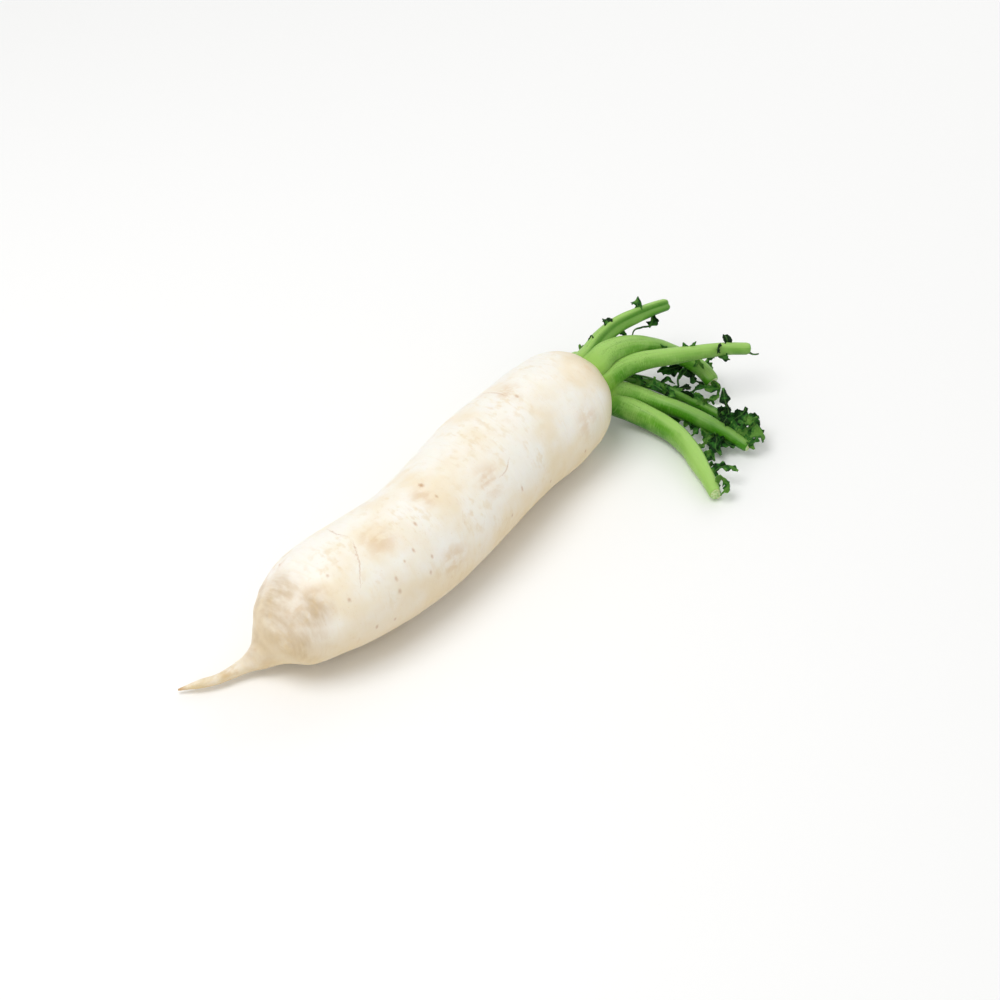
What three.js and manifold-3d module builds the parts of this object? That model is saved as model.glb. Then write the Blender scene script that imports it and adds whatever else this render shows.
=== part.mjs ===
// A daikon radish as picked, lying on its side: one long white taproot with its thin tail, the short
// stem on top of it, and the trimmed leaf stalks with what is left of their torn, curled leaf lobes.
// Millimetres, +Z up. +X runs from the tail to the leaves, and the origin is the middle of the flat
// spot under the root, on which the radish rests.
import * as THREE from "three";
import { mergeVertices } from "three/addons/utils/BufferGeometryUtils.js";
import Module from "manifold-3d";

const wasm = await Module();
wasm.setup();

// The root: [distance along the ground, sideways, height of its middle, radius] from tail tip to head.
// It bends like a shallow S in plan, and its underside runs level until the tail.
const ROOT_STATIONS = [
  [-194, 35, 3.2, 0.6],
  [-189, 31.2, 4.4, 1.6],
  [-184, 27.4, 5.4, 2.6],
  [-175, 22, 6, 3.1],
  [-165, 18.8, 6.8, 3.9],
  [-156.5, 16, 8.6, 5.6],
  [-149.5, 13, 12, 9],
  [-143, 10.8, 17.8, 15],
  [-137, 8.3, 22.5, 22.4],
  [-131, 5.4, 26.6, 27.6],
  [-123, 2.6, 30.4, 31.2],
  [-112, 0.2, 33.6, 34.7],
  [-97, -2.5, 35.4, 36.4],
  [-67, -5.9, 35.6, 36.6],
  [-32, -6.1, 35.6, 36.4],
  [3, -2.1, 36, 37.1],
  [37, 3.6, 36.1, 37.1],
  [74, 7.7, 35.4, 36],
  [97, 8.4, 35.3, 35.8],
  [110.5, 9.1, 35.1, 34.3],
];
const HEAD_LENGTH = 30.5; // from the last station to the flat top
const STEM_RISE = 6; // from the flat top to the middle of the stem, from where the leaves are placed
const HEAD_TOP_RADIUS = 17;
const HEAD_YAW = THREE.MathUtils.degToRad(5);
const ROOT_LENGTH = 336;
const ROOT_SIDES = 36;
const HEAD_RINGS = 9;
const SHOULDER_LEAN = THREE.MathUtils.degToRad(34); // how far the shoulder above the tail leans back
const SHOULDER = { start: -172, full: -136, end: -60, fade: 75 }; // where along the root it leans
const OVAL = 0.014; // how far the root is from round, as a share of its radius
const KNOBBLE = 0.008;

// The short stem: a drum sunk a little into the head, [radius, distance out from its middle].
const STEM_PROFILE = [
  [0, -10],
  [13, -10],
  [15.4, -7],
  [15.8, -2],
  [14.6, 3],
  [9, 6.5],
  [0, 8],
];
const STEM_SIDES = 28;
const LEAF_SCARS = 9;
const SCAR_DEPTH = 0.035;

const GAP = 0.3; // clearance between two pieces that press on each other
const STALK_SIDES = 10;
const STALK_RINGS = 18;
const GROOVE = 0.42; // depth of the channel on a stalk's inner side, as a share of its half thickness
const BLADE = 0.9; // thickness of a leaf lobe
const BLADE_STEP = 3.2; // how far apart the teeth of a lobe's edge are
const LEAF_FACING = new THREE.Vector3(-0.6, -0.43, 0.67); // the way a lobe faces before its roll

// The leaf stalks, in the stem's own frame: +X out along the root, +Z up.
// path runs from inside the stem to the cut end; half is [half width, half thickness] along it.
// channelTurn turns the channel of a twisted stalk round, in degrees.
// Each torn lobe is [share of the path where it is rooted, half width, roll in degrees, points of its rib].
const STALKS = [
  {
    name: "leaf_stalk_long",
    path: [[-7, -11.5, 1.6], [-2, -11.8, 1.2], [4, -11.8, 1.4], [15, -14, 3.8], [27, -21, 5],
      [41, -33, 5.4], [57, -45, 4.2], [70, -56, 3.4], [81.5, -66, 0.8]],
    half: [[9, 6], [7, 6], [5.6, 5.2], [4.6, 4.3], [3.9, 3.6]],
    lobes: [
      [0.62, 1.5, 0, [50, -36, 12]],
      [0.62, 1.4, 0, [56, -42, 12]],
      [0.86, 2.8, 20, [73, -54, 9], [74, -51, 10]],
      [0.82, 2.4, -10, [61, -55, 9.5], [58, -57, 8]],
      [0.83, 2.8, 10, [65, -58, 0], [67, -61, -1]],
      [0.97, 0.8, 0, [81, -69, -2], [84, -72, -2]],
      [0.71, 3.4, 60, [64, -47, -3], [69, -50, -5]],
    ],
  },
  {
    name: "leaf_stalk_bent",
    path: [[-7, -7.4, -10], [-2, -8, -11], [2, -9.4, -13.4], [6.5, -14, -18.4], [11.5, -25, -22.6],
      [13, -42, -24.4], [11, -58, -25], [5.5, -73, -26.2], [-2.6, -86, -27.2], [-10.5, -97.5, -27.8],
      [-18.6, -107.8, -28.4]],
    half: [[10, 7], [9.6, 7.6], [8.6, 6.8], [7.2, 6.2], [4.2, 3.8]],
    lobes: [
      [0.77, 2.6, 0, [5, -88, -23], [3, -92, -25]],
      [0.84, 2.2, 30, [-2, -94, -23], [-4, -97, -26]],
      [0.9, 2.8, -10, [-5, -98, -24], [-2, -101, -21], [1, -105, -21], [2, -110, -23]],
      [0.97, 3.6, 20, [-11, -106, -22], [-10.5, -111, -23], [-13, -114, -26], [-18.5, -112.5, -28]],
    ],
  },
  {
    name: "leaf_stalk_straight",
    path: [[-7, -10.6, -4.6], [-2, -11, -5.2], [6, -12.6, -8], [17, -21, -14.6], [23, -34.5, -18.8],
      [26, -52, -19.6], [28, -69, -21.8], [29, -86, -24.4], [28, -101, -26.4]],
    half: [[8.6, 5.6], [6.6, 5.4], [5.8, 5.1], [5.4, 4.8], [3.6, 3.4]],
    lobes: [
      [0.8, 3.8, 0, [37, -80, -15], [39, -76, -9], [42, -72, -2]],
      [0.84, 4.6, 20, [36, -85, -17], [40, -88, -14], [43, -89, -10]],
      [0.88, 4.6, -20, [38, -90, -18], [42, -93, -17], [46, -97, -16]],
      [0.92, 5, 20, [37, -95, -21], [43, -98, -21], [43, -102, -25]],
      [0.97, 4.2, -30, [33, -101, -21], [37, -104, -21], [36, -107, -25]],
      [0.98, 3.2, 40, [29, -104, -22], [31, -105, -18]],
      [0.8, 5, 0, [37, -82, -22], [39, -86, -24], [38, -90, -26]],
      [0.76, 4.2, 30, [38, -74, -18], [44, -77, -18]],
      [0.38, 3, 0, [24, -38, -24], [25, -44, -26]],
      [0.46, 3.6, 30, [24, -48, -25], [26, -54, -27]],
      [0.55, 3.6, -20, [24, -58, -25], [25, -64, -28]],
      [0.62, 3.2, 20, [24, -66, -26], [19, -65, -29]],
      [0.69, 4, -30, [23, -73, -27], [18, -75, -30], [14, -73, -30]],
      [0.75, 4.6, 10, [23, -81, -26], [17, -84, -28], [14, -90, -29]],
      [0.81, 5, -20, [24, -87, -27], [23, -94, -27]],
      [0.72, 4.6, 40, [25, -77, -28], [26, -84, -29]],
    ],
  },
  {
    name: "leaf_stalk_top",
    path: [[-7, 5, 11], [0, 5.4, 10.6], [7, 5.6, 11], [20, 6, 14.6], [33, 4, 17.2], [47, -1, 18.6],
      [63, -6, 17.4], [73, -8.2, 15]],
    half: [[9, 6], [7, 5.6], [6, 5.2], [5.2, 4.6], [4.4, 3.9]],
    channelTurn: -115,
    lobes: [
      [0.26, 1.8, 0, [13, 9, 16.5], [17, 11, 17]],
      [0.44, 2.4, 30, [29, 7, 21], [30, 10, 22], [29, 11, 20]],
      [0.73, 3.2, -20, [52, 0, 23.6], [54, 3, 24.6], [53, 5, 21.6]],
      [0.82, 3.4, 25, [58, -8, 10.6], [54, -8, 8.4]],
      [0.85, 0.8, 0, [55, -8, 9.4], [52, -4, 8], [48, -1, 7], [45, -1, 4]],
      [0.49, 1.7, 0, [36, -3, 11]],
      [0.62, 2.8, 60, [52, 2, 13.4], [57, 0, 11.4]],
    ],
  },
  {
    name: "leaf_stalk_arched",
    path: [[-7, -3.6, 11.6], [-1, -3.6, 11.6], [4, -3.6, 12.2], [11, -4.2, 14], [26, -9, 12],
      [44, -16, 3], [57, -24, -7], [64, -34, -14], [66, -43, -19], [64, -51, -22.5]],
    half: [[9, 6], [7.4, 6], [6.8, 5.8], [6.2, 5.4], [5.6, 5]],
    lobes: [
      [0.57, 1.8, 20, [47, -23, 4], [48, -26, 5]],
      [0.83, 4.2, 10, [62, -28, -19], [56, -23, -20], [50, -18, -21]],
      [0.83, 3.6, -30, [57, -34, -18], [53, -32, -22]],
      [0.82, 0.8, 0, [53, -32, -20], [49, -35, -24], [45, -38, -28]],
      [0.82, 2.8, 10, [62, -41, -10], [62, -45, -13]],
      [0.88, 2.8, 40, [61, -38, -22], [61, -43, -25], [62, -48, -26]],
      [0.98, 2.4, -20, [64, -55, -25], [60, -52, -25], [56, -47, -24], [51, -44, -25], [48, -44, -27]],
      [0.98, 2.2, 30, [64, -56, -26], [60, -56, -30], [56, -52, -32]],
      [0.88, 4, 50, [76, -39, -21], [79, -42, -25]],
    ],
  },
  {
    name: "leaf_stalk_thin",
    path: [[-6, -1.5, -8], [8, -3.5, -7.5], [20, -11, -10], [31, -22, -14], [38.5, -36, -20],
      [43, -48, -24], [46, -62, -28], [47, -78, -30]],
    half: [[7, 5], [4.8, 4.4], [4.2, 4], [4, 3.7], [3.7, 3.5]],
    lobes: [
      [0.3, 3.4, 20, [24, -20, -9], [24, -26, -9]],
      [0.42, 3.6, -10, [28, -27, -11], [26, -32, -9], [25, -38, -9]],
      [0.52, 3.6, 20, [33, -37, -15], [29, -41, -12], [28, -46, -12]],
      [0.53, 4, -10, [40, -39, -22], [42, -46, -26]],
      [0.63, 3.6, 30, [42, -47, -21], [42, -52, -25]],
      [0.5, 1.8, 0, [42, -32, -15], [43, -36, -17]],
      [0.7, 3.4, 0, [44, -53, -21], [43, -58, -24]],
      [0.77, 2.8, 30, [48, -58, -22], [48, -63, -24]],
      [0.81, 3.6, 20, [44, -64, -30], [44, -70, -31]],
      [0.58, 4, 60, [49, -37, -24], [56, -40, -27]],
    ],
  },
  {
    name: "leaf_stub_back",
    path: [[-7, 11, 1], [4, 12, -1], [10, 17, -3.5], [16, 23, -7]],
    half: [[8.4, 5.4], [6.4, 5], [5.4, 4.6]],
    lobes: [[0.7, 3, 40, [17, 19, 1], [22, 21, 1]]],
  },
  {
    name: "leaf_stub_low",
    path: [[-7, 6, -10.5], [5, 8, -13], [13, 11, -18], [21, 15, -22]],
    half: [[8.4, 5.4], [6.6, 5.2], [5.4, 4.8]],
    lobes: [[0.75, 3, -40, [20, 8, -26], [25, 9, -29]]],
  },
];

const WHITE_SKIN = { color: 0xf3ecdb, roughness: 0.42, metalness: 0 };
const STEM_GREEN = { color: 0xa9ab52, roughness: 0.7, metalness: 0 };
const STALK_GREEN = { color: 0x7db84e, roughness: 0.45, metalness: 0 };

// A function that runs straight from each of its evenly spread values to the next.
function along(values) {
  const last = values.length - 1;
  return (share) => {
    const place = Math.min(Math.max(share, 0), 1) * last;
    const i = Math.min(Math.floor(place), last - 1);
    return THREE.MathUtils.lerp(values[i], values[i + 1], place - i);
  };
}

// Joins rings of points into one closed surface, with a fan of triangles over each end.
function closedRings(rings, startPoint, endPoint) {
  const sides = rings[0].length;
  const points = [...rings.flat(), startPoint, endPoint];
  const start = points.length - 2;
  const end = points.length - 1;
  const faces = [];
  for (let i = 0; i < rings.length - 1; i += 1) {
    for (let j = 0; j < sides; j += 1) {
      const a = i * sides + j;
      const b = i * sides + ((j + 1) % sides);
      faces.push(a, b, b + sides, a, b + sides, a + sides);
    }
  }
  const top = (rings.length - 1) * sides;
  for (let j = 0; j < sides; j += 1) {
    const next = (j + 1) % sides;
    faces.push(start, next, j, end, top + j, top + next);
  }
  return indexed(points, faces);
}

function indexed(points, faces) {
  const geometry = new THREE.BufferGeometry().setFromPoints(points);
  geometry.setIndex(faces);
  return geometry;
}

// A closed three.js geometry as a solid that can be joined and cut.
function solid(geometry) {
  const bare = geometry.clone();
  bare.deleteAttribute("normal");
  bare.deleteAttribute("uv");
  const merged = mergeVertices(bare, 1e-4);
  return new wasm.Manifold(
    new wasm.Mesh({
      numProp: 3,
      vertProperties: new Float32Array(merged.attributes.position.array),
      triVerts: new Uint32Array(merged.index.array),
    }),
  );
}

// The largest single body of a solid: a scrap that a cut has set loose is dropped.
function largestBody(shape) {
  return shape.decompose().reduce((best, body) => (body.volume() > best.volume() ? body : best));
}

function meshOf(name, shape, look) {
  const made = shape.getMesh();
  const geometry = new THREE.BufferGeometry();
  geometry.setAttribute("position", new THREE.BufferAttribute(new Float32Array(made.vertProperties), 3));
  geometry.setIndex(new THREE.BufferAttribute(new Uint32Array(made.triVerts), 1));
  geometry.computeVertexNormals();
  const mesh = new THREE.Mesh(geometry, new THREE.MeshStandardMaterial(look));
  mesh.name = name;
  return mesh;
}

// Which way a cross-section of the root faces: level, but for the shoulder that leans over the tail.
function ringFacing({ x }, tangent) {
  const rise = THREE.MathUtils.smoothstep(x, SHOULDER.start, SHOULDER.full);
  const fall = THREE.MathUtils.clamp((SHOULDER.end - x) / SHOULDER.fade, 0, 1);
  const lean = SHOULDER_LEAN * rise * fall;
  const level = tangent.clone().setZ(0).normalize();
  return level.multiplyScalar(Math.cos(lean)).setZ(Math.sin(lean));
}

// One cross-section of the root: nearly round, a little oval and knobbly, and flat where it meets
// the ground.
function rootRing(centre, facing, radius, share, grow) {
  const side = new THREE.Vector3(0, 0, 1).cross(facing).normalize();
  const up = new THREE.Vector3().crossVectors(facing, side);
  return Array.from({ length: ROOT_SIDES }, (_, j) => {
    const angle = (2 * Math.PI * j) / ROOT_SIDES;
    const oval = OVAL * Math.cos(2 * angle + 5 * share);
    const knobble = KNOBBLE * Math.cos(3 * angle + 1.3) * Math.sin(17 * share);
    const r = radius * (1 + oval + knobble) + grow;
    const point = centre.clone();
    point.addScaledVector(side, r * Math.cos(angle)).addScaledVector(up, r * Math.sin(angle));
    point.z = Math.max(point.z, 0);
    return point;
  });
}

// How far along the root a point lies, from 0 at the tail to about 1 at the head.
function lengthShare({ x }) {
  return (x - ROOT_STATIONS[0][0]) / ROOT_LENGTH;
}

// The root's skin: rings through the stations, then the rounded head as a quarter of an ellipse.
function rootGeometry(grow = 0) {
  const centres = ROOT_STATIONS.map(([x, y, z]) => new THREE.Vector3(x, y, z));
  const axis = new THREE.CatmullRomCurve3(centres, false, "centripetal");
  const spans = ROOT_STATIONS.length - 1;
  const radii = new THREE.CatmullRomCurve3(
    ROOT_STATIONS.map(([x, , , r]) => new THREE.Vector3(x, r, 0)),
    false,
    "centripetal",
  );
  const rings = [];
  for (let i = 0; i <= spans * 2; i += 1) {
    const t = i / (spans * 2);
    const point = axis.getPoint(t);
    const facing = ringFacing(point, axis.getTangent(t));
    rings.push(rootRing(point, facing, radii.getPoint(t).y, lengthShare(point), grow));
  }
  const neck = centres[spans];
  const outward = new THREE.Vector3(Math.cos(HEAD_YAW), Math.sin(HEAD_YAW), 0);
  const widest = ROOT_STATIONS[spans][3];
  const lastAngle = Math.acos(HEAD_TOP_RADIUS / widest);
  for (let i = 1; i <= HEAD_RINGS; i += 1) {
    const angle = (lastAngle * i) / HEAD_RINGS;
    const distance = (HEAD_LENGTH * Math.sin(angle)) / Math.sin(lastAngle);
    const point = neck.clone().addScaledVector(outward, distance);
    rings.push(rootRing(point, outward, widest * Math.cos(angle), lengthShare(point), grow));
  }
  const tip = centres[0].clone().add(new THREE.Vector3(-1, 1, -0.6));
  return closedRings(rings, tip, neck.clone().addScaledVector(outward, HEAD_LENGTH + grow));
}

// The short stem, turned to lie along +X, scalloped where the leaves have grown from it.
function stemGeometry(grow = 0) {
  const profile = STEM_PROFILE.map(([r, x]) => {
    const out = x > 0 ? grow : -grow;
    return new THREE.Vector2(r === 0 ? 0 : r + grow, x + out);
  });
  const geometry = new THREE.LatheGeometry(profile, STEM_SIDES);
  const place = geometry.attributes.position;
  for (let i = 0; i < place.count; i += 1) {
    const angle = Math.atan2(place.getZ(i), place.getX(i));
    const scale = 1 + SCAR_DEPTH * (Math.cos(LEAF_SCARS * angle) - 1);
    place.setX(i, place.getX(i) * scale);
    place.setZ(i, place.getZ(i) * scale);
  }
  return geometry.rotateZ(-Math.PI / 2);
}

function stalkCurve(stalk) {
  return new THREE.CatmullRomCurve3(
    stalk.path.map((p) => new THREE.Vector3(...p)),
    false,
    "centripetal",
  );
}

// Frames along a stalk: its direction, the inner side that faced the plant's middle, and its flank.
function stalkFrames(stalk, count) {
  const curve = stalkCurve(stalk);
  const inner = new THREE.Vector3(0, -stalk.path[0][1], -stalk.path[0][2]);
  const frames = [];
  for (let i = 0; i <= count; i += 1) {
    const tangent = curve.getTangentAt(i / count);
    inner.addScaledVector(tangent, -inner.dot(tangent)).normalize();
    const flank = new THREE.Vector3().crossVectors(tangent, inner);
    frames.push({ centre: curve.getPointAt(i / count), tangent, inner: inner.clone(), flank });
  }
  return frames;
}

// A leaf stalk: rounded outside, with a shallow channel along its inner side, cut off square.
function stalkGeometry(stalk, grow = 0) {
  const width = along(stalk.half.map(([w]) => w));
  const depth = along(stalk.half.map(([, d]) => d));
  const turn = THREE.MathUtils.degToRad(stalk.channelTurn ?? 0);
  const frames = stalkFrames(stalk, STALK_RINGS);
  const rings = frames.map((frame, i) => {
    const share = i / STALK_RINGS;
    return Array.from({ length: STALK_SIDES }, (_, j) => {
      const angle = (2 * Math.PI * j) / STALK_SIDES;
      const channel = 1 - GROOVE * Math.max(0, Math.cos(angle - turn)) ** 4;
      const point = frame.centre.clone();
      point.addScaledVector(frame.inner, (depth(share) + grow) * Math.cos(angle) * channel);
      return point.addScaledVector(frame.flank, (width(share) + grow) * Math.sin(angle) * channel);
    });
  });
  const first = frames[0];
  const last = frames[STALK_RINGS];
  return closedRings(rings, first.centre, last.centre.clone().addScaledVector(last.tangent, grow));
}

// A torn leaf lobe: a thin blade with a jagged, waved edge along a curled rib that starts in the
// middle of its stalk.
function lobeGeometry(stalk, [share, halfWidth, roll, ...ribPoints], grow = 0) {
  const start = stalkCurve(stalk).getPointAt(share);
  const rib = new THREE.CatmullRomCurve3(
    [start, ...ribPoints.map((p) => new THREE.Vector3(...p))],
    false,
    "centripetal",
  );
  const steps = Math.max(3, Math.round(rib.getLength() / BLADE_STEP));
  const across = new THREE.Vector3().crossVectors(rib.getTangentAt(0), LEAF_FACING);
  const turn = THREE.MathUtils.degToRad(roll);
  const rows = [];
  for (let i = 0; i <= steps; i += 1) {
    const s = i / steps;
    const ahead = rib.getTangentAt(s);
    across.addScaledVector(ahead, -across.dot(ahead)).normalize();
    const sideways = across.clone().applyAxisAngle(ahead, turn);
    const upward = new THREE.Vector3().crossVectors(sideways, ahead);
    const tooth = i % 2 ? 1.2 : 0.75;
    const half = grow + halfWidth * Math.max(0.25, Math.sin(Math.PI * (0.1 + 0.82 * s)) * tooth);
    const wave = 0.25 * half * (i % 2 ? 1 : -1);
    const cup = 0.3 * half;
    const point = rib.getPointAt(s).addScaledVector(ahead, i === steps ? grow : 0);
    rows.push({
      upward,
      points: [
        point.clone().addScaledVector(sideways, -half).addScaledVector(upward, cup + wave),
        point,
        point.clone().addScaledVector(sideways, half).addScaledVector(upward, cup - wave),
      ],
    });
  }
  return bladeGeometry(rows, BLADE / 2 + grow);
}

// Closes rows of three points into a thin blade whose two faces are split into triangles alike.
function bladeGeometry(rows, halfThick) {
  const points = rows.flatMap((row) => [
    ...row.points.map((p) => p.clone().addScaledVector(row.upward, halfThick)),
    ...row.points.map((p) => p.clone().addScaledVector(row.upward, -halfThick)),
  ]);
  const faces = [];
  const quad = (a, b, c, d) => faces.push(a, b, c, a, c, d);
  for (let i = 0; i < rows.length - 1; i += 1) {
    const here = i * 6;
    const next = here + 6;
    for (const k of [0, 1]) {
      quad(here + k, here + k + 1, next + k + 1, next + k);
      faces.push(here + k + 3, next + k + 4, here + k + 4, here + k + 3, next + k + 3, next + k + 4);
    }
    quad(here, next, next + 3, here + 3);
    quad(here + 2, here + 5, next + 5, next + 2);
  }
  const end = (rows.length - 1) * 6;
  for (const k of [0, 1]) {
    quad(k, k + 3, k + 4, k + 1);
    quad(end + k, end + k + 1, end + k + 4, end + k + 3);
  }
  return indexed(points, faces);
}

// A stalk with its lobes as one solid, grown by a clearance where it is used to cut its neighbours.
function leafSolid(stalk, grow = 0) {
  const pieces = stalk.lobes.map((lobe) => solid(lobeGeometry(stalk, lobe, grow)));
  return pieces.reduce((body, piece) => body.add(piece), solid(stalkGeometry(stalk, grow)));
}

const head = new THREE.Group();
const [neckX, neckY, neckZ] = ROOT_STATIONS[ROOT_STATIONS.length - 1];
const stemReach = HEAD_LENGTH + STEM_RISE;
head.position.set(neckX + stemReach * Math.cos(HEAD_YAW), neckY + stemReach * Math.sin(HEAD_YAW), neckZ);
head.rotation.z = HEAD_YAW;
head.updateMatrix();

const socket = solid(stemGeometry(GAP).applyMatrix4(head.matrix));
const root = solid(rootGeometry()).subtract(socket);

const stem = solid(stemGeometry());
head.add(meshOf("stem", stem, STEM_GREEN));

const rootWithGap = solid(rootGeometry(GAP).applyMatrix4(head.matrix.clone().invert()));
let taken = solid(stemGeometry(GAP)).add(rootWithGap);
for (const stalk of STALKS) {
  const body = largestBody(leafSolid(stalk).subtract(taken));
  head.add(meshOf(stalk.name, body, STALK_GREEN));
  taken = taken.add(leafSolid(stalk, GAP));
}

const daikon = new THREE.Group();
daikon.add(meshOf("root", root, WHITE_SKIN), head);

export default daikon;
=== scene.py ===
"""Dresses a daikon radish: its white root, its short stem and its trimmed leaf stalks with torn lobes.

Sizes and places are millimetres in the model's own frame, with +X from the tail to the leaves and +Z
up, and MM turns them into metres. Stalks and lobes are placed in the stem's frame, as they grew.
"""
import logging
import math
import random
from dataclasses import dataclass, field
from enum import Enum
from typing import Callable, Sequence

import bmesh
import bpy
from mathutils import Matrix, Vector, noise
from mathutils.kdtree import KDTree


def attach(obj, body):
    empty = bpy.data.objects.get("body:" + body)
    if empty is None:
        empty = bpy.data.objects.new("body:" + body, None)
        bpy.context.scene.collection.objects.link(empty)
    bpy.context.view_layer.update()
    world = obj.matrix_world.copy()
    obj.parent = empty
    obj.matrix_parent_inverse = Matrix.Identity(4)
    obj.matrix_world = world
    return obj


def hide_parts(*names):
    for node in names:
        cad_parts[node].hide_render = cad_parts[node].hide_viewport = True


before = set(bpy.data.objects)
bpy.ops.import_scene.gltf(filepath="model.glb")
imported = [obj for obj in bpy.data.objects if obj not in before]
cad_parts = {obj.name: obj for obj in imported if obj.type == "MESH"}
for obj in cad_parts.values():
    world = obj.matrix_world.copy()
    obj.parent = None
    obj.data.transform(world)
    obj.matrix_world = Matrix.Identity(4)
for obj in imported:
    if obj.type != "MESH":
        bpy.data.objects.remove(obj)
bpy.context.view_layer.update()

MM = 0.001
UP = Vector((0, 0, 1))
LOG = logging.getLogger("daikon")

Point = tuple[float, float, float]
Socket = bpy.types.NodeSocket
Feed = Socket | str | float | Sequence[float]

# Every ramp in the materials is a smooth step.
SMOOTH = {"interpolation_type": "SMOOTHSTEP"}
# The colour sockets of a Mix node, by number, because its number sockets have the same names.
FACTOR, UNDER, OVER, BLENDED = 0, 6, 7, 2


def clamp(value: float, low: float = 0.0, high: float = 1.0) -> float:
    """A value kept between two limits."""
    return max(low, min(high, value))


def ease(value: float, low: float, high: float) -> float:
    """A smooth step from 0 at low to 1 at high."""
    share = clamp((value - low) / (high - low))
    return share * share * (3 - 2 * share)


def linear(hex_colour: str) -> tuple[float, float, float, float]:
    """Turns an sRGB hex colour to the linear light that a shader works in.

    Args:
        hex_colour: Six hex digits, such as "F3ECDB".

    Returns:
        Red, green, blue and an alpha of 1.
    """
    parts = (int(hex_colour[i:i + 2], 16) / 255 for i in (0, 2, 4))
    red, green, blue = (c / 12.92 if c <= 0.04045 else ((c + 0.055) / 1.055) ** 2.4 for c in parts)
    return red, green, blue, 1.0


def between(values: Sequence[float], share: float) -> float:
    """Reads a list of evenly spaced values at a share of its length.

    Args:
        values: The values from start to end.
        share: 0 at the first value and 1 at the last.

    Returns:
        The value there, on a straight line between its two neighbours.
    """
    place = clamp(share) * (len(values) - 1)
    step = min(int(place), len(values) - 2)
    return values[step] + (values[step + 1] - values[step]) * (place - step)


def rumple(place: Vector, layers: Sequence[tuple[float, float]]) -> float:
    """The sum of layers of noise at a place. Each has a height and its waves per millimetre."""
    return sum(height * noise.noise(place * waves) for height, waves in layers)


def sort_places(places: Sequence[Vector]) -> KDTree:
    """Sorts places, so that those near a spot are found fast.

    Args:
        places: The places, which keep their numbers.

    Returns:
        The sorted tree.
    """
    tree = KDTree(len(places))
    for i, place in enumerate(places):
        tree.insert(place, i)
    tree.balance()
    return tree


class Curve:
    """A centripetal Catmull-Rom curve through points, read by its points' count or by its length."""

    SAMPLES = 240
    TINY = 1e-6
    HEADING_STEP = 1e-4

    def __init__(self, points: Sequence[Sequence[float]]) -> None:
        """Measures the curve from point to point.

        Args:
            points: The points that it passes through, in order.
        """
        self.points = [Vector(p) for p in points]
        self.reach = [0.0]
        previous = self.point(0)
        for i in range(1, self.SAMPLES + 1):
            here = self.point(i / self.SAMPLES)
            self.reach.append(self.reach[-1] + (here - previous).length)
            previous = here

    @property
    def length(self) -> float:
        """The curve's whole length."""
        return self.reach[-1]

    def point(self, t: float) -> Vector:
        """Finds a place on the curve.

        Args:
            t: 0 at the first point and 1 at the last, with an equal part for every pair of neighbours.

        Returns:
            The place.
        """
        p = self.points
        place = clamp(t) * (len(p) - 1)
        i = min(int(place), len(p) - 2)
        w = place - i
        before = p[i - 1] if i > 0 else 2 * p[0] - p[1]
        after = p[i + 2] if i + 2 < len(p) else 2 * p[-1] - p[-2]
        knots = (before, p[i], p[i + 1], after)
        gaps = [max((b - a).length, self.TINY) ** 0.5 for a, b in zip(knots, knots[1:])]
        leave = self._slope(knots[0:3], gaps[0], gaps[1]) * gaps[1]
        arrive = self._slope(knots[1:4], gaps[1], gaps[2]) * gaps[1]
        square = -3 * p[i] + 3 * p[i + 1] - 2 * leave - arrive
        cube = 2 * p[i] - 2 * p[i + 1] + leave + arrive
        return p[i] + leave * w + square * w ** 2 + cube * w ** 3

    @staticmethod
    def _slope(three: Sequence[Vector], first: float, second: float) -> Vector:
        """The curve's speed at the middle one of three knots, with the gaps before and after it."""
        a, b, c = three
        return (b - a) / first - (c - a) / (first + second) + (c - b) / second

    def heading(self, t: float) -> Vector:
        """The curve's direction at t."""
        ahead = self.point(min(t + self.HEADING_STEP, 1)) - self.point(max(t - self.HEADING_STEP, 0))
        return ahead.normalized()

    def at_length(self, share: float) -> float:
        """Finds the t at a share of the curve's length.

        Args:
            share: 0 at the start and 1 at the end.

        Returns:
            The t, as point reads it.
        """
        goal = clamp(share) * self.length
        low, high = 0, self.SAMPLES
        while high - low > 1:
            middle = (low + high) // 2
            if self.reach[middle] <= goal:
                low = middle
            else:
                high = middle
        span = self.reach[high] - self.reach[low]
        return (low + (goal - self.reach[low]) / max(span, self.TINY)) / self.SAMPLES


def straight_tube(sides: int, rings: int) -> bmesh.types.BMesh:
    """Draws a closed tube of radius 1 that stands from z = 0 to z = 1, for its points to be placed.

    Args:
        sides: How many sides its rings have.
        rings: How many bands it has from end to end.

    Returns:
        A bmesh whose two ends are fans of triangles.
    """
    bm = bmesh.new()
    bmesh.ops.create_cone(bm, cap_ends=True, segments=sides, radius1=1, radius2=1, depth=1)
    bmesh.ops.translate(bm, verts=bm.verts, vec=UP / 2)
    uprights = [e for e in bm.edges if abs(e.verts[0].co.z - e.verts[1].co.z) > 0.5]
    bmesh.ops.subdivide_edges(bm, edges=uprights, cuts=rings - 1, use_grid_fill=True)
    bmesh.ops.poke(bm, faces=[f for f in bm.faces if len(f.verts) == sides])
    return bm


def place_tube(bm: bmesh.types.BMesh, section: Callable[[float, float, float], Vector],
               length: float) -> None:
    """Moves each point of a straight tube to its section, and keeps its straightened place in mm.

    Args:
        bm: A tube as straight_tube draws it.
        section: Gives the place for a share of the length, an angle and a radius of 0 to 1.
        length: The real length, which the straightened place is scaled by.
    """
    straight = bm.verts.layers.float_vector.new("straight")
    for vert in bm.verts:
        x, y, share = vert.co
        radius = math.hypot(x, y)
        vert[straight] = Vector((x, y, share * length))
        vert.co = section(share, math.atan2(y, x), min(radius, 1.0))


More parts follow.
